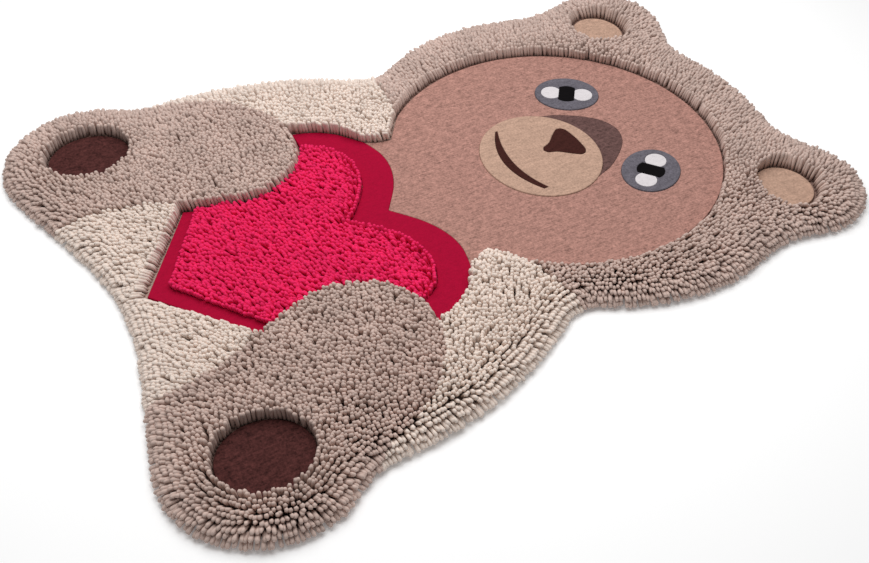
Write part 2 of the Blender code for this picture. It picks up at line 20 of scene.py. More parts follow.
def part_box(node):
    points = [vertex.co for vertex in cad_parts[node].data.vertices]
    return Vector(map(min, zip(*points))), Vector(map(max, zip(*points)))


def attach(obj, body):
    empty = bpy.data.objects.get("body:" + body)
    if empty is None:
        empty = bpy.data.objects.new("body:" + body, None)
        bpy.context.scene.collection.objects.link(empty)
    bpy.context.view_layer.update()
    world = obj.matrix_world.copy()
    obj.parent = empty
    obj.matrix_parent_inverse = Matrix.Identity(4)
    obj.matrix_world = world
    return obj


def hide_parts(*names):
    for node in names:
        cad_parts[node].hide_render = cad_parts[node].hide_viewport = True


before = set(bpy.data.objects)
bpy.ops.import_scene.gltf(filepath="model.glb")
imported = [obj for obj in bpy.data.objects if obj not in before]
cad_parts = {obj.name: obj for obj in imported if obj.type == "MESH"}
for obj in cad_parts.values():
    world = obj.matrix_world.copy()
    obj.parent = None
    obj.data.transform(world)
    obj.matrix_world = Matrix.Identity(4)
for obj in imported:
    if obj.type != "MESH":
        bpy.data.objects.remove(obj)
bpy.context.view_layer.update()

bl_info = {
    "name": "Bear Shaped Kids Rug",
    "version": (1, 0, 0),
    "blender": (4, 5, 0),
    "location": "View3D > Sidebar > Kids Rug",
    "description": "Plants the yarn of a tufted bear shaped rug on its backing cloth",
    "category": "Add Mesh",
}

BODY = "root"

# The nodes of the long shag, and the ones that it stands round as a wall.
HEAD_NODES = ("crown", "ear_left", "ear_right", "cheek_left", "cheek_right")
LEG_NODES = ("leg_left", "leg_right", "foot_left", "foot_right")
TAUPE_NODES = HEAD_NODES + LEG_NODES
HEM_NODES = ("body_bottom",)
CREAM_NODES = ("body_side_left", "body_side_right", *HEM_NODES)
SOLE_NODES = ("sole_left", "sole_right")
BORDER_NODES = ("heart_border_top", "heart_border_tip")
LOW_NODES = ("face", *BORDER_NODES)
WELL_NODES = ("face", "ear_inner_left", "ear_inner_right", *SOLE_NODES, *BORDER_NODES, "heart_pile")

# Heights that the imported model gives.
BACKING_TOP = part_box("backing")[1].z
PILE_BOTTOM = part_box("face")[0].z

# What counts as no distance, and the steps of a fine outline and of a plain one.
CLOSE = 1e-6
FINE_STEP = 0.0005
OUTLINE_STEP = 0.004

# An outline keeps its corner where it turns by more than this, in degrees. The cosine that moves a corner
# is never taken as less than this, so that a sharp one doesn't run far out.
CORNER_ANGLE = 45
LEAST_COSINE = 0.35

# How a strand's half width changes along its length, both as a share of the whole.
StrandRing = namedtuple("StrandRing", "along half_width")
STRAND_RINGS = (
    StrandRing(0.0, 0.74),
    StrandRing(0.5, 0.90),
    StrandRing(0.86, 1.0),
    StrandRing(0.96, 0.74),
)
STRAND_SIDES = 5

# A strand bends by at least this angle, in radians, and stays this far above the floor.
LEAST_BEND = 1e-3
FLOOR_GAP = 0.0002

# How much of its lean a strand has at its root, how its length and its width differ from the usual, and how
# far its middle sways aside.
ROOT_SHARE = 0.24
LENGTH_SPREAD = (0.93, 1.07)
HEART_LENGTH_SPREAD = (0.92, 1.08)
WIDTH_SPREAD = (0.9, 1.1)
SWAY = 0.0012

# How light the strands are: the height of its slow waves, then their length, and how much it differs from
# strand to strand.
TONE_WAVES = 0.16
Tone = namedtuple("Tone", "wavelength scatter")
SHAG_TONE = Tone(0.12, 0.2)
HEART_TONE = Tone(0.1, 0.22)

# How far off its place a root or a point of a mesh may be, as a share of the spacing there.
ROW_JITTER = 0.1
LOOSE_JITTER = 0.16
FILL_JITTER = 0.2
HEART_JITTER = 0.17
MESH_JITTER = 0.2

# How far past its node's outline a strand may be planted, and how far past it is still the node's own, which
# is half of the gap between two nodes.
PLANTED_MARGIN = 0.0003
OWN_MARGIN = 0.0002

# How far the outermost pile stands outside the backing cloth, and how close to the wells the loose strands
# may stand, as a share of the inset of the wells' rows.
RIM_OVERHANG = 0.002
LOOSE_INSET = 0.88

# How far from the face and the heart's border the strands lean away from them, and are shorter beside the
# face. How far from the soles they reach their full lean, because right at a sole they stand upright.
WALL_REACH = 0.024
SOLE_REACH = 0.035

# Where the foot's way of leaning gives way to the body's, measured from the sole, and where the outward lean
# behind the rim ends, measured from the rim.
FOOT_FAN_END = 0.15
FOOT_FAN_FADE = 0.07
REST_LEAN_END = 0.13
REST_LEAN_FADE = 0.06

# Seen from above, the way that the shag lies, and the way that the left leg's shag and the heart's pile lie.
NAP = (0.40, -0.92)
COMBED_NAP = (-0.42, -0.91)
COMBED_NODES = ("leg_left", "foot_left")

# Shares of the full lean: what is left of the nap on the head, at the rim and at a sole, of the slow waves
# at the rim, and of the lean off the face on the head.
HEAD_NAP = 0.5
RIM_NAP = 0.35
SOLE_NAP = 0.2
RIM_WAVES = 0.3
HEAD_WALL_LEAN = 0.3
LEAN_WAVELENGTH = 0.06

# A slow wave is the sum of this many, with their lengths spread round the one that is asked for.
WAVE_COUNT = 5
WAVELENGTH_SPREAD = (0.7, 1.6)

# The heart's edge is open where it has its border this near. There its strands lose this share of how far
# they lie over. How far differs from strand to strand, up to this many degrees.
OPEN_EDGE_GAP = 0.002
OPEN_EDGE_LOSS = 0.9
LIE_SPREAD = (0.75, 1.2)
FURTHEST_LIE = 105

# A slab of pile: its edge's points, as shares of the edge's rounding, how far inside them the next ones
# start, as a share of the spacing, and the sharpest turn that is shaded smooth, in degrees.
EDGE_RINGS = (0.3, 1.0)
INNER_START = 0.6
SMOOTH_ANGLE = 60

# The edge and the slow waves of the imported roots, and the edge and the mesh of the backing cloth.
ROOTS_EDGE = 0.004
ROOTS_WAVELENGTH = 0.04
ROOTS_RELIEF = 0.0006
CLOTH_EDGE = 0.0008
CLOTH_SPACING = 0.012

# Tufts of cut pile stand in rows along Y. First how much longer they are than wide. Then, across the row and
# along it, how fast a tuft falls off and how far it shifts. The lowest tuft has this share of the height, and
# the pile's own height lies at this share of a tuft.
TUFT_STRETCH = 1.5
TUFT_FALL = (3.0, 1.1)
TUFT_SHIFT = (0.25, 0.5)
LOWEST_TUFT = 0.75
TUFT_LEVEL = 0.8

# Factors that turn a tuft's row and place into two values that look like chance.
CHANCE_FACTORS = ((127.1, 311.7), (269.5, 183.3))
CHANCE_SPREAD = 43758.5453

# The slow waves in cut pile: their length, and their height as a share of the tufts'.
CUT_WAVELENGTH = 0.05
CUT_WAVES = 0.3

# Low cut pile: its edge's rounding and its tufts' width and height, then its nodes, its yarn and its slot.
Cut = namedtuple("Cut", "edge tuft relief")
CutPile = namedtuple("CutPile", "nodes cut yarn slot")
CUT_PILES = (
    CutPile(("face",), Cut(0.0009, 0.0046, 0.0011), "rose_brown", "face_pile"),
    CutPile(("muzzle",), Cut(0.0014, 0.0036, 0.0004), "tan", "muzzle_pile"),
    CutPile(("bridge",), Cut(0.0006, 0.0040, 0.0008), "bridge_brown", "bridge_pile"),
    CutPile(("nose", "mouth"), Cut(0.0006, 0.0036, 0.0005), "dark_brown", "nose_pile"),
    CutPile(("ear_inner_left", "ear_inner_right"), Cut(0.0012, 0.0036, 0.0006), "tan", "muzzle_pile"),
    CutPile(SOLE_NODES, Cut(0.0012, 0.0038, 0.0007), "sole_brown", "nose_pile"),
    CutPile(BORDER_NODES, Cut(0.0012, 0.0034, 0.0003), "crimson", "border_pile"),
    CutPile(("eye_left", "eye_right"), Cut(0.0012, 0.0036, 0.0004), "grey", "eye_pile"),
)

# Each eye's pupil lies between two glints. The tilt of the line through them, in degrees, how far from the
# middle the cuts across it are, and half of the gap that a cut leaves.
EYE_TILT = 127
GLINT_CUT = 0.0135
HALF_CUT = 0.0002
PUPIL_CUT = Cut(0.0007, 0.0034, 0.0004)

# Where the photo was taken from.
CAMERA_PLACE = (1.3067, -0.7551, 1.252)
CAMERA_FORWARD = (-0.6300, 0.3563, -0.6900)
CAMERA_LENS = 51.2
CAMERA_SENSOR = 36.0

# The light comes from high up, a little from behind the rug as the camera sees it.
LIGHT_MIDDLE = (0.40, -0.34, 0.0)
LIGHT_WAY = (-0.48, 0.26, 1.15)
LIGHT_DISTANCE = 1.8
FLOOR_ROUGHNESS = 0.8

STRAND_SEED = 21
HEART_SEED = 34
TUFT_SEED = 8


# ---------------------------------------------------------------- settings


def length(name, description, default):
    """A property that is a length, in metres."""
    return FloatProperty(
        name=name, description=description, default=default, min=0.0, unit="LENGTH", precision=4
    )


def angle(name, description, degrees):
    """A property that is an angle."""
    return FloatProperty(name=name, description=description, default=math.radians(degrees), subtype="ANGLE")


def amount(name, description, default):
    """A property that is a plain amount or share."""
    return FloatProperty(name=name, description=description, default=default, min=0.0)


def linear(seen):
    """A colour channel as an amount of light, from how a screen shows it, 0 to 255."""
    share = seen / 255
    return ((share + 0.055) / 1.055) ** 2.4 if seen > 10 else share / 12.92


def colour(name, description, *seen):
    """A colour property whose default is a colour as seen in daylight, 0 to 255."""
    return FloatVectorProperty(
        name=name, description=description, default=[linear(channel) for channel in seen],
        subtype="COLOR", size=3, min=0, max=1,
    )


class ShagSettings(PropertyGroup):
    """Sizes of the long shag."""

    row_spacing: length("Row spacing", "From one row of roots to the next", 0.0051)
    strand_spacing: length("Strand spacing", "From one strand to the next in a row", 0.0055)
    loose_spacing: length("Loose spacing", "From strand to strand where they stand in no rows", 0.0058)
    strand_room: length("Strand room", "The least distance between two roots", 0.0044)
    head_row_spacing: length("Head row spacing", "From one row of roots to the next on the head", 0.0053)
    strand_length: length("Strand length", "From the backing cloth to the tip", 0.0312)
    head_length: length("Head strand length", "Length of the strands between the face and the rim", 0.0330)
    head_width: amount("Head width", "How thick the head's strands are beside the others", 0.95)
    face_length: length("Face strand length", "Length of the strands that stand round the face", 0.0260)
    rim_length: length("Rim strand length", "Length of the outermost strands, which lie down", 0.0300)
    half_width: length("Half width", "Half of a strand's thickness", 0.0034)
    wall_inset: length("Wall inset", "From the edge of a well to the roots of its wall", 0.0039)
    rim_inset: length("Rim inset", "From the rim to the outermost roots", 0.0036)
    row_depth: length("Row depth", "How far in from the rim the strands stand in rows", 0.058)
    head_row_depth: length("Head row depth", "The same on the head", 0.095)
    body_reach: length("Body reach", "How far in the outward lean at the rim dies out, on the body", 0.0135)
    foot_reach: length("Foot reach", "The same round the soles", 0.0145)
    head_reach: length("Head reach", "The same on the head", 0.0160)
    body_lean: angle("Body lean", "How far the strands behind the rim lean outwards, on the body", 5)
    foot_lean: angle("Foot lean", "The same round the soles", 15)
    hem_lean: angle("Hem lean", "The same between the feet", 27)
    head_lean: angle("Head lean", "The same on the head", 34)
    fan_angle: angle("Fan angle", "How far the outermost strands lean", 132)
    wall_lean: angle("Wall lean", "How far strands lean away from the face and the heart's border", 13)
    nap_lean: angle("Nap lean", "How far the pile lies over as a whole", 19)
    combed_lean: angle("Combed lean", "How far it lies over on the left leg", 20)
    ripple_lean: angle("Ripple lean", "How far the lean changes slowly from place to place", 3.5)
    loose_lean: angle("Loose lean", "How unevenly the inner strands lean", 4.5)
    even_lean: angle("Even lean", "How unevenly the strands in the outer rows lean", 4.6)


class HeartSettings(PropertyGroup):
    """Sizes of the heart's pile."""

    strand_spacing: length("Strand spacing", "From strand to strand", 0.0057)
    strand_room: length("Strand room", "The least distance between two roots", 0.0044)
    strand_length: length("Strand length", "From the backing cloth to the tip", 0.0215)
    edge_length: length("Edge strand length", "Length of the strands at the heart's edge", 0.0195)
    half_width: length("Half width", "Half of a strand's thickness", 0.0030)
    edge_inset: length("Edge inset", "From the heart's edge to its outermost roots", 0.0034)
    fan_depth: length("Fan depth", "How far in from the edge the strands lean outwards", 0.016)
    fan_angle: angle("Fan angle", "How far the strands lean right at the edge", 20)
    lie_angle: angle("Lie angle", "How far the tips of the inner strands lie over", 60)
    root_share: amount("Root share", "How much of a strand's lean it has at its root", 0.06)
    scatter: angle("Scatter", "How unevenly the strands lie", 24)


class CutPileSettings(PropertyGroup):
    """Sizes of the low cut pile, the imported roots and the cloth."""

    spacing: length("Mesh spacing", "From point to point of the cut pile's surface", 0.00177)
    ground_height: length("Ground height", "How high the roots of the shag stand packed together", 0.0085)
    ground_spacing: length("Ground spacing", "From point to point of the packed roots", 0.011)
    weave: length("Weave", "From thread to thread of the backing cloth", 0.0021)


class YarnColours(PropertyGroup):
    """Colours of the yarns."""

    taupe: colour("Taupe", "Head and legs", 202, 179, 169)
    cream: colour("Cream", "Body", 233, 217, 206)
    rose_brown: colour("Rose brown", "Face", 170, 127, 116)
    tan: colour("Tan", "Muzzle and inner ears", 184, 151, 132)
    bridge_brown: colour("Bridge brown", "Bridge over the muzzle", 101, 75, 72)
    dark_brown: colour("Dark brown", "Nose and mouth", 64, 33, 29)
    sole_brown: colour("Sole brown", "Soles", 76, 42, 40)
    grey: colour("Grey", "Rings of the eyes", 103, 99, 107)
    black: colour("Black", "Pupils", 13, 10, 12)
    white: colour("White", "Glints of the eyes", 216, 210, 212)
    crimson: colour("Crimson", "Border of the heart", 162, 8, 49)
    raspberry: colour("Raspberry", "Heart", 235, 44, 101)
    backing_cloth: colour("Backing cloth", "Cloth under the yarn", 205, 196, 180)


class StudioSettings(PropertyGroup):
    """Floor and light."""

    floor_size: length("Floor size", "Width and length of the floor", 40.0)
    floor_colour: colour("Floor colour", "Colour of the floor", 252, 252, 252)
    floor_glow: amount("Floor glow", "How much light the floor gives of its own", 0.10)
    key_power: FloatProperty(
        name="Key power", description="Power of the main light", default=35.5, subtype="POWER"
    )
    key_size: length("Key size", "Width of the main light", 1.9)
    fill: amount("Fill", "Strength of the light from all around", 0.25)


# ---------------------------------------------------------------- outlines


def area_of(loop):
    """Signed area: above zero if the loop runs anticlockwise."""
    after = np.roll(loop, -1, axis=0)
    return float(np.sum(loop[:, 0] * after[:, 1] - after[:, 0] * loop[:, 1]) / 2)


@functools.cache
def outline_of(node_name):
    """The outlines of a node's pile from above: the outer one first, anticlockwise, then its holes."""
    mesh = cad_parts[node_name].data
    places = np.empty(len(mesh.vertices) * 3)
    mesh.vertices.foreach_get("co", places)
    places, number = np.unique(places.reshape(-1, 3).round(6), axis=0, return_inverse=True)
    corners = np.empty(len(mesh.polygons) * 3, int)
    mesh.polygons.foreach_get("vertices", corners)
    corners = number.ravel()[corners].reshape(-1, 3)
    a, b, c = (places[corners[:, i]] for i in range(3))
    is_level = np.ptp(np.stack([a, b, c])[:, :, 2], axis=0) < 2 * CLOSE
    faces_down = np.cross(b - a, c - a)[:, 2] < 0
    under = corners[is_level & faces_down]
    edges = {(p, q) for triangle in under for p, q in zip(triangle, np.roll(triangle, -1))}
    following = {q: p for p, q in edges if (q, p) not in edges}
    loops = []
    while following:
        first = here = next(iter(following))
        loop = []
        while here in following:
            loop.append(places[here, :2])
            here = following.pop(here)
        if here != first:
            raise ValueError(f"the outline of {node_name} isn't closed")
        loops.append(np.array(loop))
    return sorted(loops, key=lambda loop: -abs(area_of(loop)))


def smooth(loop, step):
    """The loop as a smooth line with a point about every step, with its true corners kept."""
    before = np.roll(loop, 1, axis=0)
    after = np.roll(loop, -1, axis=0)
    way_in = np.arctan2(*(loop - before).T[::-1])
    way_out = np.arctan2(*(after - loop).T[::-1])
    turn = np.abs((way_out - way_in + math.pi) % math.tau - math.pi)
    is_corner = turn > math.radians(CORNER_ANGLE)
    out = []
    for i in range(len(loop)):
        j = (i + 1) % len(loop)
        a, b = loop[i], loop[j]
        run_in = b - a if is_corner[i] else (b - before[i]) / 2
        run_out = b - a if is_corner[j] else (after[j] - a) / 2
        count = max(1, round(float(np.linalg.norm(b - a)) / step))
        t = np.arange(count)[:, None] / count
        curve = (2 * t**3 - 3 * t**2 + 1) * a + (t**3 - 2 * t**2 + t) * run_in
        curve += (3 * t**2 - 2 * t**3) * b + (t**3 - t**2) * run_out
        out.append(curve)
    return np.concatenate(out)


def moved_in(loop, distance):
    """The loop moved to its left: inwards for an outer one, and off the hole for a hole."""
    run_in = loop - np.roll(loop, 1, axis=0)
    run_out = np.roll(loop, -1, axis=0) - loop
    run_in /= np.linalg.norm(run_in, axis=1, keepdims=True)
    run_out /= np.linalg.norm(run_out, axis=1, keepdims=True)
    left = np.stack([-run_in[:, 1] - run_out[:, 1], run_in[:, 0] + run_out[:, 0]], axis=1)
    left /= np.linalg.norm(left, axis=1, keepdims=True)
    corner = np.clip(-left[:, 0] * run_in[:, 1] + left[:, 1] * run_in[:, 0], LEAST_COSINE, 1.0)
    return loop + left * (distance / corner)[:, None]


def grown(node_name, margin):
    """The outlines of a node's pile, moved out by the margin."""
    return [moved_in(smooth(loop, OUTLINE_STEP), -margin) for loop in outline_of(node_name)]


def is_inside(points, loop):
    """Which of the points lie inside the loop."""
    x, y = points.T
    inside = np.zeros(len(points), bool)
    for (ax, ay), (bx, by) in zip(loop, np.roll(loop, -1, axis=0)):
        if ay != by:
            inside ^= ((ay > y) != (by > y)) & (x < ax + (y - ay) / (by - ay) * (bx - ax))
    return inside


def covers(points, loops):
    """Which of the points lie inside the outer loop and outside its holes."""
    inside = is_inside(points, loops[0])
    for hole in loops[1:]:
        inside &= ~is_inside(points, hole)
    return inside


def lies_in(points, names):
    """Which of the points lie in any of these nodes."""
    return np.any([covers(points, outline_of(name)) for name in names], axis=0)


def tree_of(lines):
    """A search tree of the points of these lines."""
    points = np.concatenate(lines)
    tree = KDTree(len(points))
    for i, (x, y) in enumerate(points):
        tree.insert((x, y, 0.0), i)
    tree.balance()
    return tree


@functools.cache
def edges_of(names):
    """A search tree of the outer edges of these nodes."""
    return tree_of([smooth(outline_of(name)[0], FINE_STEP) for name in names])


def nearest(points, tree):
    """How far each point is from the lines in the tree, and the direction to them."""
    found = [tree.find((x, y, 0.0)) for x, y in points]
    distance = np.array([f[2] for f in found])
    way = np.array([f[0][:2] for f in found]) - points
    return distance, way / np.maximum(distance, CLOSE)[:, None]


def lattice(loops, spacing, jitter, rng):
    """Points in rows along Y that cover the loops, each a little off its place."""
    row_step = spacing * math.sqrt(3) / 2
    low = (np.floor(np.min(loops[0], axis=0) / (row_step, spacing)) - 1) * (row_step, spacing)
    high = np.max(loops[0], axis=0) + spacing
    rows, places = np.meshgrid(
        np.arange(math.ceil((high[0] - low[0]) / row_step)),
        np.arange(math.ceil((high[1] - low[1]) / spacing)),
        indexing="ij",
    )
    along = low[1] + (places + rows % 2 / 2) * spacing
    points = np.stack([low[0] + rows * row_step, along], axis=-1).reshape(-1, 2)
    points += rng.uniform(-jitter, jitter, points.shape) * spacing
    return points[covers(points, loops)]


def ripple(points, wavelength, rng):
    """A slow, uneven wave over the rug, about -1 to 1."""
    total = np.zeros(len(points))
    for _ in range(WAVE_COUNT):
        turn = rng.uniform(0, math.tau)
        waves = math.tau / (wavelength * rng.uniform(*WAVELENGTH_SPREAD))
        total += np.sin(points @ (math.cos(turn), math.sin(turn)) * waves + rng.uniform(0, math.tau))
    return total / (WAVE_COUNT / 2)


# ---------------------------------------------------------------- meshes


def rising(start, share):
    """From the start, where the share is 0, to 1."""
    return start + (1 - start) * share


def alone(piece):
    """Deselects everything else and makes this piece active."""
    bpy.ops.object.select_all(action="DESELECT")
    piece.select_set(True)
    bpy.context.view_layer.objects.active = piece


def new_object(name, data):
    """A new object in the scene that holds this mesh, light or camera."""
    made = bpy.data.objects.new(name, data)
    bpy.context.scene.collection.objects.link(made)
    return made


def joined(piece, other):
    """Joins the other into the piece."""
    alone(piece)
    other.select_set(True)
    bpy.ops.object.join()
    return piece


def filled(loops, points):
    """Triangles through all the points, between the outer loop and its holes."""
    places = np.concatenate([*loops, points])
    rings = []
    count = 0
    for loop in loops:
        numbers = list(range(count, count + len(loop)))
        rings.append(numbers if area_of(loop) > 0 else numbers[::-1])
        count += len(loop)
    flat = [Vector(p) for p in places.tolist()]
    keep_inside = 1
    found, _, faces, _, _, held_by = delaunay_2d_cdt(flat, [], rings, keep_inside, CLOSE / 10)
    kept = [face for face, holders in zip(faces, held_by) if holders == [0]]
    return np.array([v[:] for v in found]), kept


def tufts(points, pitch):
    """The rounded tops of cut tufts that stand in rows along Y, from 0 in the gaps to 1."""
    at = points / (pitch, pitch * TUFT_STRETCH)
    cell = np.floor(at)
    top = np.zeros(len(points))
    for dx in (-1, 0, 1):
        for dy in (-1, 0, 1):
            row = cell[:, 0] + dx
            place = cell[:, 1] + dy
            chance_across, chance_along = (
                np.sin(row * by_row + place * by_place + TUFT_SEED) * CHANCE_SPREAD % 1
                for by_row, by_place in CHANCE_FACTORS
            )
            x = at[:, 0] - row - 0.5 - (chance_across - 0.5) * TUFT_SHIFT[0]
            y = at[:, 1] - place - 0.5 - row % 2 / 2 - (chance_along - 0.5) * TUFT_SHIFT[1]
            dome = 1 - TUFT_FALL[0] * x**2 - TUFT_FALL[1] * y**2
            top = np.maximum(top, dome * rising(LOWEST_TUFT, chance_along))
    return top


def cut_relief(points, cut):
    """Tufts, their tops level with the pile's height, and a slow unevenness."""
    rng = np.random.default_rng(TUFT_SEED)
    waves = ripple(points, CUT_WAVELENGTH, rng) * cut.relief * CUT_WAVES
    return (tufts(points, cut.tuft) - TUFT_LEVEL) * cut.relief + waves


def cut_off(loop, way, limit):
    """The part of a loop that lies less than the limit along a direction."""
    out = []
    for a, b in zip(loop, np.roll(loop, -1, axis=0)):
        ahead, next_ahead = a @ way - limit, b @ way - limit
        if ahead <= 0:
            out.append(a)
        if (ahead <= 0) != (next_ahead <= 0):
            out.append(a + (b - a) * ahead / (ahead - next_ahead))
    return np.array(out)


def close_below(piece, bottom):
    """Extrudes the open edge of a surface straight down to the bottom, and closes it there."""
    alone(piece)
    bpy.ops.object.mode_set(mode="EDIT")
    bpy.context.tool_settings.mesh_select_mode = (False, True, False)
    bpy.ops.mesh.select_all(action="DESELECT")
    bpy.ops.mesh.select_non_manifold(
        use_wire=False, use_multi_face=False, use_non_contiguous=False, use_verts=False
    )
    bpy.ops.mesh.extrude_edges_move(TRANSFORM_OT_translate={"value": (0, 0, -BACKING_TOP)})
    bpy.ops.transform.resize(value=(1, 1, 0), center_override=(0, 0, bottom))
    bpy.ops.mesh.fill(use_beauty=False)
    bpy.ops.mesh.select_all(action="SELECT")
    bpy.ops.mesh.normals_make_consistent(inside=False)
    bpy.ops.mesh.select_all(action="DESELECT")
    bpy.ops.object.mode_set(mode="OBJECT")
    bpy.ops.object.shade_smooth_by_angle(angle=math.radians(SMOOTH_ANGLE))


def slab(name, outlines, top, edge, spacing, relief, bottom=PILE_BOTTOM, tuft=None):
    """A zone of packed or cut pile, or the cloth: its surface, its rounded edge and its sides."""
    rng = np.random.default_rng(TUFT_SEED)
    loops = [smooth(loop, spacing) for loop in outlines]
    tree = tree_of([smooth(loop, FINE_STEP) for loop in outlines])
    rings = [moved_in(loop, edge * share) for loop in loops for share in EDGE_RINGS]
    inner = lattice(loops, spacing, MESH_JITTER, rng)
    inner = inner[nearest(inner, tree)[0] > edge + spacing * INNER_START]
    places, faces = filled(loops, np.concatenate([*rings, inner]))
    reach = nearest(places, tree)[0]
    near_edge = np.clip(1 - reach / edge, 0, 1)
    height = top - edge * (1 - np.sqrt(1 - near_edge**2))
    height += relief(places) * np.clip((reach - edge) / spacing, 0, 1)
    mesh = bpy.data.meshes.new(name)
    mesh.from_pydata(np.column_stack([places, height]), [], faces)
    mesh.update()
    if tuft:
        cover = mesh.attributes.new("tuft", "FLOAT", "POINT")
        cover.data.foreach_set("value", tufts(places, tuft).astype(np.float32))
    piece = new_object(name, mesh)
    close_below(piece, bottom)
    return piece


def model_strand():
    """One strand, modelled upright at the origin, with a length and a half width of 1."""
    bpy.ops.object.select_all(action="DESELECT")
    first, last = STRAND_RINGS[0], STRAND_RINGS[-1]
    bpy.ops.mesh.primitive_circle_add(vertices=STRAND_SIDES, radius=first.half_width, fill_type="NGON")
    strand = bpy.context.object
    bpy.ops.object.mode_set(mode="EDIT")
    bpy.context.tool_settings.mesh_select_mode = (False, False, True)
    bpy.ops.mesh.select_all(action="SELECT")
    for low, high in zip(STRAND_RINGS, STRAND_RINGS[1:]):
        bpy.ops.mesh.extrude_region_move(TRANSFORM_OT_translate={"value": (0, 0, high.along - low.along)})
        share = high.half_width / low.half_width
        bpy.ops.transform.resize(value=(share, share, 1), center_override=(0, 0, high.along))
    bpy.ops.mesh.extrude_region_move(TRANSFORM_OT_translate={"value": (0, 0, 1 - last.along)})
    bpy.ops.mesh.merge(type="CENTER")
    bpy.ops.mesh.select_all(action="SELECT")
    bpy.ops.mesh.normals_make_consistent(inside=False)
    bpy.ops.object.mode_set(mode="OBJECT")
    return strand


Pattern = namedtuple("Pattern", "places corners starts")


@functools.cache
def strand_pattern():
    """The modelled strand as arrays: its points, its faces' corners, and where each face starts."""
    strand = model_strand()
    mesh = strand.data
    places = np.array([v.co[:] for v in mesh.vertices])
    corners = np.array([loop.vertex_index for loop in mesh.loops])
    starts = np.array([face.loop_start for face in mesh.polygons])
    bpy.data.objects.remove(strand)
    bpy.data.meshes.remove(mesh)
    return Pattern(places, corners, starts)


# Each row of these arrays is one strand: its root, the way it leans, how steeply at root and tip, and more.
Strands = namedtuple("Strands", "root lean_way root_angle tip_angle length half_width sway tone")


def strands_mesh(name, strands):
    """All the strands as one piece: each a copy of the modelled one, bent along its own line."""
    pattern = strand_pattern()
    size = len(pattern.places)
    count = len(strands.root)
    x, y, along = pattern.places.T
    fields = (strands.root_angle, strands.tip_angle, strands.length, strands.half_width, strands.sway)
    at_root, at_tip, full, half_width, sway = (values[:, None] for values in fields)
    bend = at_tip - at_root
    bend = np.where(np.abs(bend) < LEAST_BEND, LEAST_BEND, bend)
    lean = at_root + bend * along
    out = full * (np.cos(at_root) - np.cos(lean)) / bend + x * half_width * np.cos(lean)
    up = full * (np.sin(lean) - np.sin(at_root)) / bend - x * half_width * np.sin(lean)
    aside = y * half_width + sway * np.sin(math.pi * along) * along
    way = strands.lean_way[:, None, :]
    side = np.stack([-way[..., 1], way[..., 0]], axis=-1)
    flat = strands.root[:, None, :] + way * out[..., None] + side * aside[..., None]
    height = np.maximum(BACKING_TOP + up, FLOOR_GAP)
    places = np.concatenate([flat, height[..., None]], axis=-1)
    mesh = bpy.data.meshes.new(name)
    mesh.vertices.add(count * size)
    mesh.vertices.foreach_set("co", places.ravel())
    copies = np.arange(count)[:, None]
    mesh.loops.add(count * len(pattern.corners))
    mesh.loops.foreach_set("vertex_index", (pattern.corners + size * copies).ravel())
    mesh.polygons.add(count * len(pattern.starts))
    mesh.polygons.foreach_set("loop_start", (pattern.starts + len(pattern.corners) * copies).ravel())
    mesh.update(calc_edges=True)
    for label, values in (("tone", np.repeat(strands.tone, size)), ("along", np.tile(along, count))):
        mesh.attributes.new(label, "FLOAT", "POINT").data.foreach_set("value", values.astype(np.float32))
    mesh.shade_smooth()
    return new_object(name, mesh)


# ---------------------------------------------------------------- planting


class Bed:
    """The roots planted so far, in square cells, so that each new one keeps its distance."""

    def __init__(self, room):
        self.room = room
        self.cells = {}
        self.roots = []

    def plant(self, points):
        """Plants each point that has room."""
        for x, y in points:
            i, j = math.floor(x / self.room), math.floor(y / self.room)
            near = [self.cells.get((i + di, j + dj), ()) for di in (-1, 0, 1) for dj in (-1, 0, 1)]
            if any(math.hypot(x - px, y - py) < self.room for places in near for px, py in places):
                continue
            self.cells.setdefault((i, j), []).append((x, y))
            self.roots.append((x, y))


def row_along(line, distance, step, tree, rng):
    """Roots along one row, which follows a line at a distance."""
    row = moved_in(line, distance)
    row = row[nearest(row, tree)[0] > distance - FINE_STEP]
    out = []
    for place in row:
        if not out or np.linalg.norm(place - out[-1]) >= step:
            out.append(place)
    return np.array(out) + rng.uniform(-ROW_JITTER, ROW_JITTER, (len(out), 2)) * step


def shag_roots(sizes):
    """Where the strands of the shag stand, in rows along the wells and the rim, and a tree of the rim."""
    rng = np.random.default_rng(STRAND_SEED)
    rim = moved_in(smooth(outline_of("backing")[0], FINE_STEP), -RIM_OVERHANG)
    rim_tree = tree_of([rim])
    shag = [grown(name, PLANTED_MARGIN) for name in TAUPE_NODES + CREAM_NODES]
    bed = Bed(sizes.strand_room)

    def plant(points):
        """Plants the points that lie in the shag and clear of the wells."""
        in_shag = np.any([covers(points, loops) for loops in shag], axis=0)
        in_shag &= nearest(points, edges_of(WELL_NODES))[0] > sizes.wall_inset * LOOSE_INSET
        bed.plant(points[in_shag])

    plant(row_along(rim, sizes.rim_inset, sizes.strand_spacing, rim_tree, rng))
    for name in WELL_NODES:
        edge = smooth(outline_of(name)[0], FINE_STEP)[::-1]
        plant(row_along(edge, sizes.wall_inset, sizes.strand_spacing, tree_of([edge]), rng))
    zones = (
        (HEAD_NODES, sizes.head_row_depth, sizes.head_row_spacing),
        (LEG_NODES + CREAM_NODES, sizes.row_depth, sizes.row_spacing),
    )
    for names, depth, spacing in zones:
        for distance in np.arange(sizes.rim_inset + spacing, depth, spacing):
            line = row_along(rim, distance, sizes.strand_spacing, rim_tree, rng)
            plant(line[lies_in(line, names)])
    plant(lattice([rim], sizes.loose_spacing, LOOSE_JITTER, rng))
    plant(lattice([rim], sizes.strand_room, FILL_JITTER, rng))
    return np.array(bed.roots), rim_tree


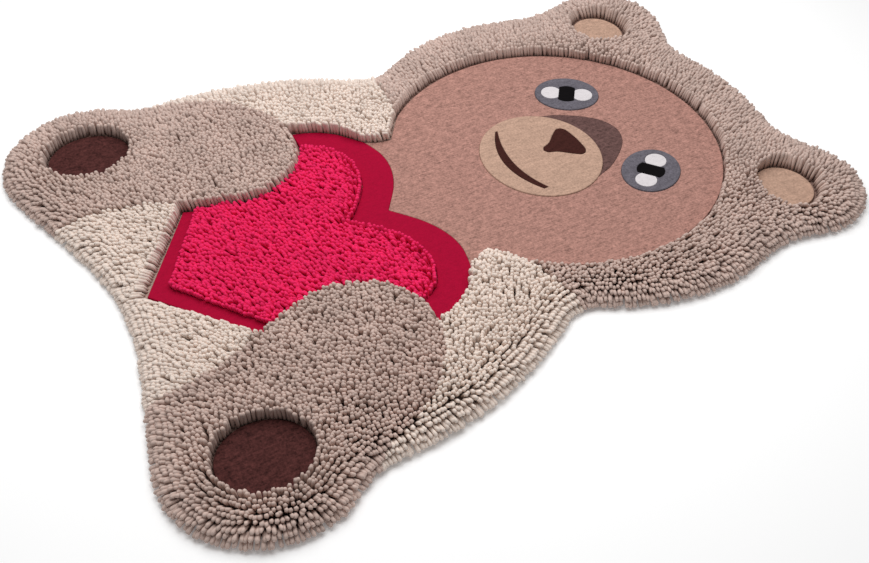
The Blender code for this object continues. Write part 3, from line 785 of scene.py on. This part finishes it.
def zoned(body, foot, head, by_foot, in_head):
    """A value for each strand: the body's or the head's, and blended into the foot's round the soles."""
    return np.where(in_head, head, body + (foot - body) * by_foot)


def waving(points, size, rng):
    """A lean for each point that changes slowly from place to place."""
    return np.stack([ripple(points, LEAN_WAVELENGTH, rng) for _ in range(2)], axis=1) * size


def toned(points, tone, rng):
    """How light each strand is, from 0 to 1."""
    slow = TONE_WAVES * ripple(points, tone.wavelength, rng)
    return np.clip(0.5 + slow + rng.normal(0, tone.scatter, len(points)), 0, 1)


def shag_lean(sizes, roots, from_rim, to_rim, in_head, rng):
    """The lean of each strand's tip: outwards near the rim, off the face and the heart, with the nap."""
    from_sole, _ = nearest(roots, edges_of(SOLE_NODES))
    from_low, to_low = nearest(roots, edges_of(LOW_NODES))
    combed, in_hem = (lies_in(roots, names)[:, None] for names in (COMBED_NODES, HEM_NODES))
    by_foot = np.clip((FOOT_FAN_END - from_sole) / FOOT_FAN_FADE, 0, 1)[:, None]
    off_sole = np.clip(from_sole / SOLE_REACH, 0, 1)[:, None]
    by_low = np.clip(1 - from_low / WALL_REACH, 0, 1)[:, None]
    reach = zoned(sizes.body_reach, sizes.foot_reach, sizes.head_reach, by_foot, in_head)
    rest = zoned(sizes.body_lean, sizes.foot_lean, sizes.head_lean, by_foot, in_head)
    rest = np.where(in_hem, sizes.hem_lean, rest)
    rest = rest * np.clip((REST_LEAN_END - from_rim) / REST_LEAN_FADE, 0, 1)[:, None]
    inward = 1 - np.exp(-np.clip(from_rim - sizes.rim_inset, 0, 1)[:, None] / reach)
    lean = to_rim * (sizes.fan_angle * (1 - inward) + rest * off_sole * inward)
    lean -= to_low * sizes.wall_lean * by_low * np.where(in_head, HEAD_WALL_LEAN, 1)
    nap = np.where(combed, np.array(COMBED_NAP) * sizes.combed_lean, np.array(NAP) * sizes.nap_lean)
    lean += nap * rising(RIM_NAP, inward) * np.where(in_head, HEAD_NAP, 1) * rising(SOLE_NAP, off_sole)
    lean += waving(roots, sizes.ripple_lean, rng) * rising(RIM_WAVES, inward)
    scatter = sizes.even_lean + (sizes.loose_lean - sizes.even_lean) * inward**2
    return lean + rng.normal(0, 1, (len(roots), 2)) * scatter


@functools.cache
def shag_strands():
    """Every strand of the shag."""
    sizes = bpy.context.scene.rug_shag
    rng = np.random.default_rng(STRAND_SEED + 1)
    roots, rim_tree = shag_roots(sizes)
    count = len(roots)
    from_rim, to_rim = nearest(roots, rim_tree)
    from_face, _ = nearest(roots, edges_of(("face",)))
    in_head = lies_in(roots, HEAD_NODES)
    lean = shag_lean(sizes, roots, from_rim, to_rim, in_head[:, None], rng)
    tip_angle = np.linalg.norm(lean, axis=1)
    longest = np.where(in_head, sizes.head_length, sizes.strand_length)
    longest += (sizes.face_length - longest) * np.clip(1 - from_face / WALL_REACH, 0, 1)
    at_rim = np.clip(1 - (from_rim - sizes.rim_inset) / sizes.row_spacing, 0, 1)
    longest += (sizes.rim_length - longest) * at_rim
    widest = sizes.half_width * np.where(in_head, sizes.head_width, 1)
    return Strands(
        root=roots,
        lean_way=lean / np.maximum(tip_angle, CLOSE)[:, None],
        root_angle=tip_angle * ROOT_SHARE,
        tip_angle=tip_angle,
        length=longest * rng.uniform(*LENGTH_SPREAD, count),
        half_width=widest * rng.uniform(*WIDTH_SPREAD, count),
        sway=rng.normal(0, SWAY, count),
        tone=toned(roots, SHAG_TONE, rng),
    )


def heart_strands(sizes):
    """The heart's strands, which lie over in a tangle and stand out over its border at its open edges."""
    rng = np.random.default_rng(HEART_SEED)
    loop = smooth(outline_of("heart_pile")[0], FINE_STEP)
    tree = tree_of([loop])
    bed = Bed(sizes.strand_room)
    bed.plant(row_along(loop, sizes.edge_inset, sizes.strand_spacing, tree, rng))
    for spacing in (sizes.strand_spacing, sizes.strand_room):
        loose = lattice([loop], spacing, HEART_JITTER, rng)
        bed.plant(loose[nearest(loose, tree)[0] > sizes.edge_inset])
    roots = np.array(bed.roots)
    count = len(roots)
    open_edge = loop[nearest(loop, edges_of(BORDER_NODES))[0] < OPEN_EDGE_GAP]
    from_edge, to_edge = nearest(roots, tree_of([open_edge]))
    at_edge = np.clip(1 - from_edge / sizes.fan_depth, 0, 1)
    turn = math.atan2(COMBED_NAP[1], COMBED_NAP[0]) + rng.normal(0, 1, count) * sizes.scatter
    lie = sizes.lie_angle * (1 - OPEN_EDGE_LOSS * at_edge) * rng.uniform(*LIE_SPREAD, count)
    lean = np.stack([np.cos(turn), np.sin(turn)], axis=1) * lie[:, None]
    lean += to_edge * (sizes.fan_angle * at_edge)[:, None]
    tip_angle = np.linalg.norm(lean, axis=1)
    lean_way = lean / np.maximum(tip_angle, CLOSE)[:, None]
    tip_angle = np.minimum(tip_angle, math.radians(FURTHEST_LIE))
    longest = sizes.strand_length + (sizes.edge_length - sizes.strand_length) * at_edge
    return Strands(
        root=roots,
        lean_way=lean_way,
        root_angle=tip_angle * (sizes.root_share + (ROOT_SHARE - sizes.root_share) * at_edge),
        tip_angle=tip_angle,
        length=longest * rng.uniform(*HEART_LENGTH_SPREAD, count),
        half_width=sizes.half_width * rng.uniform(*WIDTH_SPREAD, count),
        sway=rng.normal(0, SWAY, count),
        tone=toned(roots, HEART_TONE, rng),
    )


# ---------------------------------------------------------------- materials

WHITE = (1, 1, 1, 1)
BLACK = (0, 0, 0, 1)

# The places of a mix node's sockets for colours.
MIX_SHARE, MIX_FIRST, MIX_SECOND, MIX_RESULT = 0, 6, 7, 2

# What every yarn and cloth here shares.
YARN_ROUGHNESS = 0.92
YARN_SHINE = 0.08
SHEEN_ROUGHNESS = 0.5
BUMP_DEPTH = 0.0006

# How strong the bumps of a finish are, and its sheen.
Finish = namedtuple("Finish", "bump sheen")
STRAND_FINISH = Finish(0.35, 0.2)
CUT_FINISH = Finish(0.5, 0.12)
CLOTH_FINISH = Finish(0.6, 0.0)

# Felted yarn: where along a strand the painted shade at its root, which stands for the shade between the
# strands, fades out, the waves to a metre of its clouds and its fuzz, the usual range of its clouds, and how
# much they add to the tone.
ROOT_SHADE_FADE = (0.05, 0.62)
FELT_CLOUDS = 190.0
FELT_FUZZ = 900.0
FELT_RANGE = (0.3, 0.7)
FELT_TONE = 0.25

# Cut pile: painted shade in the gaps between its tufts. The heights of a tuft at which that painted shade
# starts and is full, and the dashes in which it shows, with how much of it shows elsewhere.
GAP_SHADE_FADE = (0.75, 0.3)
DASHES = 230.0
DASH_STRETCH = (1.0, 0.42, 0.3)
DASH_FADE = (0.42, 0.6)
LEAST_GAP_SHADE = 0.2

# Its mottling: clouds, which weigh more, and streaks along its rows, in waves to a metre, and its fuzz.
CUT_CLOUDS = 290.0
CLOUD_ROUGHNESS = 0.7
CLOUD_WEIGHT = 1.8
STREAKS = 165.0
STREAK_STRETCH = (1.0, 0.36, 1.0)
CUT_FUZZ = 700.0

# Cloth, with painted shade between its threads: how light it is there, and how much lighter it gets on top of
# them.
CLOTH_SHADED_GAP = 0.72
CLOTH_RISE = 0.35

# How each yarn looks when it stands long: its root's colour as a share of its own, a painted shade that
# stands for the shade between the strands, and how its strands vary.
LongLook = namedtuple("LongLook", "root_shade variation")
LONG_LOOKS = {
    "taupe": LongLook((0.42, 0.34, 0.32), 0.28),
    "cream": LongLook((0.55, 0.47, 0.44), 0.15),
    "raspberry": LongLook((0.85, 0.72, 0.77), 0.2),
}

# How each yarn looks when it is cut low: how dark the painted shade in its gaps is, and its mottling.
CutLook = namedtuple("CutLook", "gap_depth mottling")
CUT_LOOKS = {
    "rose_brown": CutLook(0.18, 0.85),
    "tan": CutLook(0.12, 0.6),
    "bridge_brown": CutLook(0.26, 0.9),
    "dark_brown": CutLook(0.30, 0.4),
    "sole_brown": CutLook(0.2, 1.3),
    "grey": CutLook(0.2, 0.7),
    "black": CutLook(0.3, 0.3),
    "white": CutLook(0.10, 0.12),
    "crimson": CutLook(0.10, 0.2),
}


def feed(tree, socket, value):
    """Gives a socket its value, or links another node's socket to it."""
    if isinstance(value, bpy.types.NodeSocket):
        tree.links.new(value, socket)
    else:
        socket.default_value = value


def label_of(name):
    """The label of the socket that this setting feeds."""
    return name.replace("_", " ").title()


def node(tree, kind, **settings):
    """A new shader node. A setting that names one of its inputs feeds it, and others set the node."""
    made = tree.nodes.new(kind)
    for name, value in settings.items():
        if label_of(name) in made.inputs:
            feed(tree, made.inputs[label_of(name)], value)
        else:
            setattr(made, name, value)
    return made


def maths(tree, operation, *values):
    """The outcome of a maths node on these values."""
    made = node(tree, "ShaderNodeMath", operation=operation)
    for socket, value in zip(made.inputs, values):
        feed(tree, socket, value)
    return made.outputs[0]


def ranged(tree, value, low, high, to_low=0.0, to_high=1.0, kind="SMOOTHSTEP"):
    """The value's place between low and high, as a number from to_low to to_high."""
    made = node(
        tree, "ShaderNodeMapRange", interpolation_type=kind,
        value=value, from_min=low, from_max=high, to_min=to_low, to_max=to_high,
    )
    return made.outputs["Result"]


def noise(tree, place, scale, detail=3.0, roughness=0.5):
    """A cloudy pattern, with this many waves to a metre."""
    made = node(tree, "ShaderNodeTexNoise", vector=place, scale=scale, detail=detail, roughness=roughness)
    return made.outputs["Fac"]


def stretched(tree, place, scale):
    """The place, scaled along each axis: less than 1 draws a pattern out."""
    return node(tree, "ShaderNodeMapping", vector=place, scale=scale).outputs["Vector"]


def new_group(name, inputs):
    """A group that puts out a colour and a height, then what it is given, and the place on the piece."""
    group = bpy.data.node_groups.new(name, "ShaderNodeTree")
    add_socket = group.interface.new_socket
    for label, default in inputs.items():
        kind = "NodeSocketColor" if isinstance(default, tuple) else "NodeSocketFloat"
        add_socket(label, in_out="INPUT", socket_type=kind).default_value = default
    add_socket("Colour", in_out="OUTPUT", socket_type="NodeSocketColor")
    add_socket("Height", in_out="OUTPUT", socket_type="NodeSocketFloat")
    given = node(group, "NodeGroupInput").outputs
    place = node(group, "ShaderNodeTexCoord").outputs["Object"]
    return group, given, place


def put_out(group, yarn_colour, value, height):
    """Puts out the colour, as light as the value says, and the height."""
    tone = node(group, "ShaderNodeHueSaturation", color=yarn_colour, value=value)
    node(group, "NodeGroupOutput", colour=tone.outputs["Color"], height=height)


@functools.cache
def felted_yarn_group():
    """Felted yarn: each strand a little lighter or darker, painted shade at its root, and a fuzzy surface."""
    inputs = {"Colour": WHITE, "Root Colour": BLACK, "Tone": 0.5, "Along": 1.0, "Variation": 0.2}
    group, given, place = new_group("Felted Yarn", inputs)
    # Painted shade: the root colour, mixed in up to where along the strand it fades out.
    shade = node(group, "ShaderNodeMix", data_type="RGBA")
    feed(group, shade.inputs[MIX_SHARE], ranged(group, given["Along"], *ROOT_SHADE_FADE))
    feed(group, shade.inputs[MIX_FIRST], given["Root Colour"])
    feed(group, shade.inputs[MIX_SECOND], given["Colour"])
    own = maths(group, "SUBTRACT", given["Tone"], 0.5)
    cloudy = ranged(group, noise(group, place, FELT_CLOUDS), *FELT_RANGE, -FELT_TONE, FELT_TONE, "LINEAR")
    value = maths(group, "MULTIPLY_ADD", maths(group, "ADD", own, cloudy), given["Variation"], 1.0)
    put_out(group, shade.outputs[MIX_RESULT], value, noise(group, place, FELT_FUZZ))
    return group


@functools.cache
def cut_pile_group():
    """Low cut pile: painted shade in the gaps here and there between its tufts, over a slight mottling."""
    inputs = {"Colour": WHITE, "Tuft": 1.0, "Gap Depth": 0.4, "Mottling": 0.15}
    group, given, place = new_group("Cut Pile", inputs)
    # Painted shade where a tuft is low, in the gaps between the tufts, shown in dashes.
    gap = ranged(group, given["Tuft"], *GAP_SHADE_FADE)
    dash = noise(group, stretched(group, place, DASH_STRETCH), DASHES, detail=1.0)
    painted_gap_mask = maths(group, "MULTIPLY", gap, ranged(group, dash, *DASH_FADE, LEAST_GAP_SHADE))
    depth = maths(group, "MULTIPLY", painted_gap_mask, given["Gap Depth"])
    cloud = noise(group, place, CUT_CLOUDS, roughness=CLOUD_ROUGHNESS)
    streak = noise(group, stretched(group, place, STREAK_STRETCH), STREAKS)
    both = maths(group, "MULTIPLY_ADD", cloud, CLOUD_WEIGHT, streak)
    centred = maths(group, "SUBTRACT", both, (CLOUD_WEIGHT + 1) / 2)
    mottled = maths(group, "MULTIPLY_ADD", centred, given["Mottling"], 1.0)
    put_out(group, given["Colour"], maths(group, "SUBTRACT", mottled, depth), noise(group, place, CUT_FUZZ))
    return group


@functools.cache
def weave_group():
    """Plain woven cloth: threads that cross over and under each other, with painted shade between them."""
    group, given, place = new_group("Plain Weave", {"Colour": WHITE, "Threads": 480.0})
    threads = node(group, "ShaderNodeVectorMath", operation="SCALE", vector=place, scale=given["Threads"])
    split = node(group, "ShaderNodeSeparateXYZ", vector=threads.outputs["Vector"])
    waves = [
        maths(group, "SINE", maths(group, "MULTIPLY", split.outputs[axis], math.pi)) for axis in ("X", "Y")
    ]
    height = maths(group, "ABSOLUTE", maths(group, "MULTIPLY", *waves))
    # Lighter on top of the threads, with painted shade between them.
    put_out(group, given["Colour"], maths(group, "MULTIPLY_ADD", height, CLOTH_RISE, CLOTH_SHADED_GAP), height)
    return group


def new_material(name):
    """A new material, its node tree and the inputs of its shader."""
    material = bpy.data.materials.new(name)
    material.use_nodes = True
    tree = material.node_tree
    return material, tree, tree.nodes["Principled BSDF"].inputs


def yarn_material(name, group, finish, **values):
    """A material whose colour and height come from a node group. A value in words names an attribute."""
    material, tree, shader = new_material(name)
    pattern = node(tree, "ShaderNodeGroup", node_tree=group)
    for label, value in values.items():
        if isinstance(value, str):
            value = node(tree, "ShaderNodeAttribute", attribute_name=value).outputs["Fac"]
        feed(tree, pattern.inputs[label_of(label)], value)
    height = pattern.outputs["Height"]
    relief = node(tree, "ShaderNodeBump", strength=finish.bump, distance=BUMP_DEPTH, height=height)
    feed(tree, shader["Base Color"], pattern.outputs["Colour"])
    feed(tree, shader["Normal"], relief.outputs["Normal"])
    feed(tree, shader["Roughness"], YARN_ROUGHNESS)
    feed(tree, shader["Specular IOR Level"], YARN_SHINE)
    feed(tree, shader["Sheen Weight"], finish.sheen)
    feed(tree, shader["Sheen Tint"], values["colour"])
    feed(tree, shader["Sheen Roughness"], SHEEN_ROUGHNESS)
    return material


@functools.cache
def long_material(yarn):
    """The material of one yarn that stands long."""
    own = getattr(bpy.context.scene.rug_yarns, yarn)
    look = LONG_LOOKS[yarn]
    # The root colour is painted shade: the yarn darkened where the strands shade each other near the backing.
    root = [channel * share for channel, share in zip(own, look.root_shade)]
    return yarn_material(
        f"{yarn}_shag", felted_yarn_group(), STRAND_FINISH,
        colour=(*own, 1), root_colour=(*root, 1), tone="tone", along="along", variation=look.variation,
    )


@functools.cache
def cut_material(yarn):
    """The material of one yarn that is cut low."""
    own = getattr(bpy.context.scene.rug_yarns, yarn)
    return yarn_material(
        f"{yarn}_cut_pile", cut_pile_group(), CUT_FINISH,
        colour=(*own, 1), tuft="tuft", **CUT_LOOKS[yarn]._asdict(),
    )


# ---------------------------------------------------------------- pieces


def finished(piece, material, slot, *nodes):
    """Gives the piece its material, puts it under the body, and hides the nodes that it stands for."""
    piece.data.materials.clear()
    piece.data.materials.append(material)
    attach(piece, BODY)
    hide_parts(*nodes)


def make_long_pile(name, strands, seed, yarn, slot, node_name):
    """The long pile of one node: its strands, and the bed of packed roots that they stand in."""
    pile = strands_mesh(name, strands)
    rng = np.random.default_rng(seed)
    sizes = bpy.context.scene.rug_cut_pile
    # The bed stands for the packed roots. As it has no along attribute, it shows the painted root shade all
    # over, the shade that falls deep in the pile.
    bed = slab(
        f"{name}_roots", outline_of(node_name), sizes.ground_height, ROOTS_EDGE, sizes.ground_spacing,
        lambda points: ripple(points, ROOTS_WAVELENGTH, rng) * ROOTS_RELIEF,
    )
    finished(joined(pile, bed), long_material(yarn), slot, node_name)


def make_shag(node_names, yarn, slot):
    """The shag of these nodes: each takes the strands that stand in it."""
    strands = shag_strands()
    for name in node_names:
        own = covers(strands.root, grown(name, OWN_MARGIN))
        own_strands = Strands(*(values[own] for values in strands))
        make_long_pile(f"{name}_shag", own_strands, STRAND_SEED, yarn, slot, name)


def make_cut_pile(name, loops, cut, yarn, slot, node_name):
    """One zone of low cut pile, as high as its node."""
    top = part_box(node_name)[1].z
    spacing = bpy.context.scene.rug_cut_pile.spacing
    relief = functools.partial(cut_relief, cut=cut)
    piece = slab(f"{name}_pile", loops, top, cut.edge, spacing, relief, tuft=cut.tuft)
    finished(piece, cut_material(yarn), slot, node_name)


# ---------------------------------------------------------------- studio


def lay_floor(studio):
    """The plain floor that the rug lies on."""
    bpy.ops.object.select_all(action="DESELECT")
    bpy.ops.mesh.primitive_plane_add(size=studio.floor_size, location=(0, 0, 0))
    floor = bpy.context.object
    floor.name = "floor"
    material, tree, shader = new_material("pale_floor")
    feed(tree, shader["Base Color"], (*studio.floor_colour, 1))
    feed(tree, shader["Roughness"], FLOOR_ROUGHNESS)
    feed(tree, shader["Emission Color"], WHITE)
    feed(tree, shader["Emission Strength"], studio.floor_glow)
    floor.data.materials.append(material)


def hang_lights(studio):
    """One broad light over the rug, and a faint one from all around."""
    light = bpy.data.lights.new("key", "AREA")
    light.energy = studio.key_power
    light.size = studio.key_size
    key = new_object("key", light)
    way = Vector(LIGHT_WAY).normalized()
    key.location = Vector(LIGHT_MIDDLE) + way * LIGHT_DISTANCE
    key.rotation_euler = (-way).to_track_quat("-Z", "Y").to_euler()
    world = bpy.data.worlds.new("studio")
    world.use_nodes = True
    background = world.node_tree.nodes["Background"].inputs
    background["Color"].default_value = WHITE
    background["Strength"].default_value = studio.fill
    bpy.context.scene.world = world


def place_camera():
    """The camera, where the photo was taken from."""
    lens = bpy.data.cameras.new("camera")
    lens.lens = CAMERA_LENS
    lens.sensor_width = CAMERA_SENSOR
    camera = new_object("camera", lens)
    forward = Vector(CAMERA_FORWARD).normalized()
    right = forward.cross(Vector((0, 0, 1))).normalized()
    turned = Matrix((right, right.cross(forward), -forward)).transposed()
    camera.matrix_world = Matrix.Translation(CAMERA_PLACE) @ turned.to_4x4()
    bpy.context.scene.camera = camera
    bpy.context.scene.view_settings.view_transform = "Standard"


# ---------------------------------------------------------------- operators


class RugOperator:
    """What all the operators here share."""

    bl_options = {"REGISTER", "UNDO"}


class RUG_OT_backing(RugOperator, Operator):
    """Make the backing cloth that the yarn is punched into"""

    bl_idname = "rug.make_backing"
    bl_label = "Make Backing Cloth"

    def execute(self, context):
        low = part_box("backing")[0].z
        cloth = slab(
            "backing_cloth", outline_of("backing"), BACKING_TOP, CLOTH_EDGE, CLOTH_SPACING,
            lambda points: np.zeros(len(points)), low,
        )
        cloth_colour = (*context.scene.rug_yarns.backing_cloth, 1)
        threads = 1 / context.scene.rug_cut_pile.weave
        material = yarn_material(
            "backing_weave", weave_group(), CLOTH_FINISH, colour=cloth_colour, threads=threads
        )
        finished(cloth, material, "backing_cloth", "backing")
        return {"FINISHED"}


class RUG_OT_taupe_shag(RugOperator, Operator):
    """Plant the long taupe shag of the head, the legs and the feet"""

    bl_idname = "rug.plant_taupe_shag"
    bl_label = "Plant Taupe Shag"

    def execute(self, context):
        make_shag(TAUPE_NODES, "taupe", "taupe_shag")
        return {"FINISHED"}


class RUG_OT_cream_shag(RugOperator, Operator):
    """Plant the long cream shag of the body"""

    bl_idname = "rug.plant_cream_shag"
    bl_label = "Plant Cream Shag"

    def execute(self, context):
        make_shag(CREAM_NODES, "cream", "cream_shag")
        return {"FINISHED"}


class RUG_OT_heart_pile(RugOperator, Operator):
    """Plant the raspberry pile of the heart"""

    bl_idname = "rug.plant_heart_pile"
    bl_label = "Plant Heart Pile"

    def execute(self, context):
        strands = heart_strands(context.scene.rug_heart)
        make_long_pile("heart_strands", strands, HEART_SEED, "raspberry", "heart_pile", "heart_pile")
        return {"FINISHED"}


class RUG_OT_cut_pile(RugOperator, Operator):
    """Make the low cut pile of the face, the eyes, the soles, the inner ears and the heart's border"""

    bl_idname = "rug.make_cut_pile"
    bl_label = "Make Cut Pile"

    def execute(self, context):
        for row in CUT_PILES:
            for name in row.nodes:
                make_cut_pile(name, outline_of(name), row.cut, row.yarn, row.slot, name)
        return {"FINISHED"}


class RUG_OT_pupils(RugOperator, Operator):
    """Make each eye's black pupil and its two white glints"""

    bl_idname = "rug.make_pupils"
    bl_label = "Make Pupils"

    def execute(self, context):
        turn = math.radians(EYE_TILT)
        for side, mirror in (("left", -1), ("right", 1)):
            node_name = f"pupil_{side}"
            low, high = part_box(node_name)
            way = np.array((mirror * math.cos(turn), math.sin(turn)))
            along = float(np.array(((low + high) / 2)[:2]) @ way)
            whole = outline_of(node_name)[0]
            lower = cut_off(whole, way, along - GLINT_CUT - HALF_CUT)
            upper = cut_off(whole, -way, -along - GLINT_CUT - HALF_CUT)
            band = cut_off(whole, way, along + GLINT_CUT - HALF_CUT)
            band = cut_off(band, -way, GLINT_CUT - HALF_CUT - along)
            parts = (
                (node_name, band, "black", "pupil_pile"),
                (f"glint_upper_{side}", upper, "white", "glint_pile"),
                (f"glint_lower_{side}", lower, "white", "glint_pile"),
            )
            for name, loop, yarn, slot in parts:
                make_cut_pile(name, [loop], PUPIL_CUT, yarn, slot, node_name)
        return {"FINISHED"}


class RUG_OT_studio(RugOperator, Operator):
    """Make the pale floor, the soft light and the camera"""

    bl_idname = "rug.make_studio"
    bl_label = "Make Studio"

    def execute(self, context):
        lay_floor(context.scene.rug_studio)
        hang_lights(context.scene.rug_studio)
        place_camera()
        return {"FINISHED"}


class RUG_PT_panel(Panel):
    """Lists the rug's pieces, sizes and colours"""

    bl_idname = "RUG_PT_panel"
    bl_label = "Kids Rug"
    bl_space_type = "VIEW_3D"
    bl_region_type = "UI"
    bl_category = "Kids Rug"

    def draw(self, context):
        layout = self.layout
        for name, settings, operators in PANEL_ROWS:
            box = layout.box()
            box.label(text=name)
            group = getattr(context.scene, settings)
            for key in type(group).__annotations__:
                box.prop(group, key)
            for operator in operators:
                box.operator(operator.bl_idname)


SETTINGS = {
    "rug_shag": ShagSettings,
    "rug_heart": HeartSettings,
    "rug_cut_pile": CutPileSettings,
    "rug_yarns": YarnColours,
    "rug_studio": StudioSettings,
}
OPERATORS = (
    RUG_OT_studio, RUG_OT_backing, RUG_OT_taupe_shag, RUG_OT_cream_shag, RUG_OT_heart_pile,
    RUG_OT_cut_pile, RUG_OT_pupils,
)
CLASSES = (*SETTINGS.values(), *OPERATORS, RUG_PT_panel)
PANEL_ROWS = (
    ("Shag", "rug_shag", (RUG_OT_taupe_shag, RUG_OT_cream_shag)),
    ("Heart", "rug_heart", (RUG_OT_heart_pile,)),
    ("Cut pile and cloth", "rug_cut_pile", (RUG_OT_cut_pile, RUG_OT_pupils, RUG_OT_backing)),
    ("Yarns", "rug_yarns", ()),
    ("Studio", "rug_studio", (RUG_OT_studio,)),
)


def register():
    for kind in CLASSES:
        bpy.utils.register_class(kind)
    for name, kind in SETTINGS.items():
        setattr(bpy.types.Scene, name, PointerProperty(type=kind))


def unregister():
    for name in SETTINGS:
        delattr(bpy.types.Scene, name)
    for kind in reversed(CLASSES):
        bpy.utils.unregister_class(kind)


def declare_cloth():
    """Works out the flat size of the backing cloth, which nothing then uses."""
    flat_area = area_of(outline_of("backing")[0])


def main():
    """Makes the rug and its studio."""
    register()
    for operator in OPERATORS:
        getattr(bpy.ops.rug, operator.bl_idname.removeprefix("rug."))()
    declare_cloth()


if __name__ == "__main__":
    main()
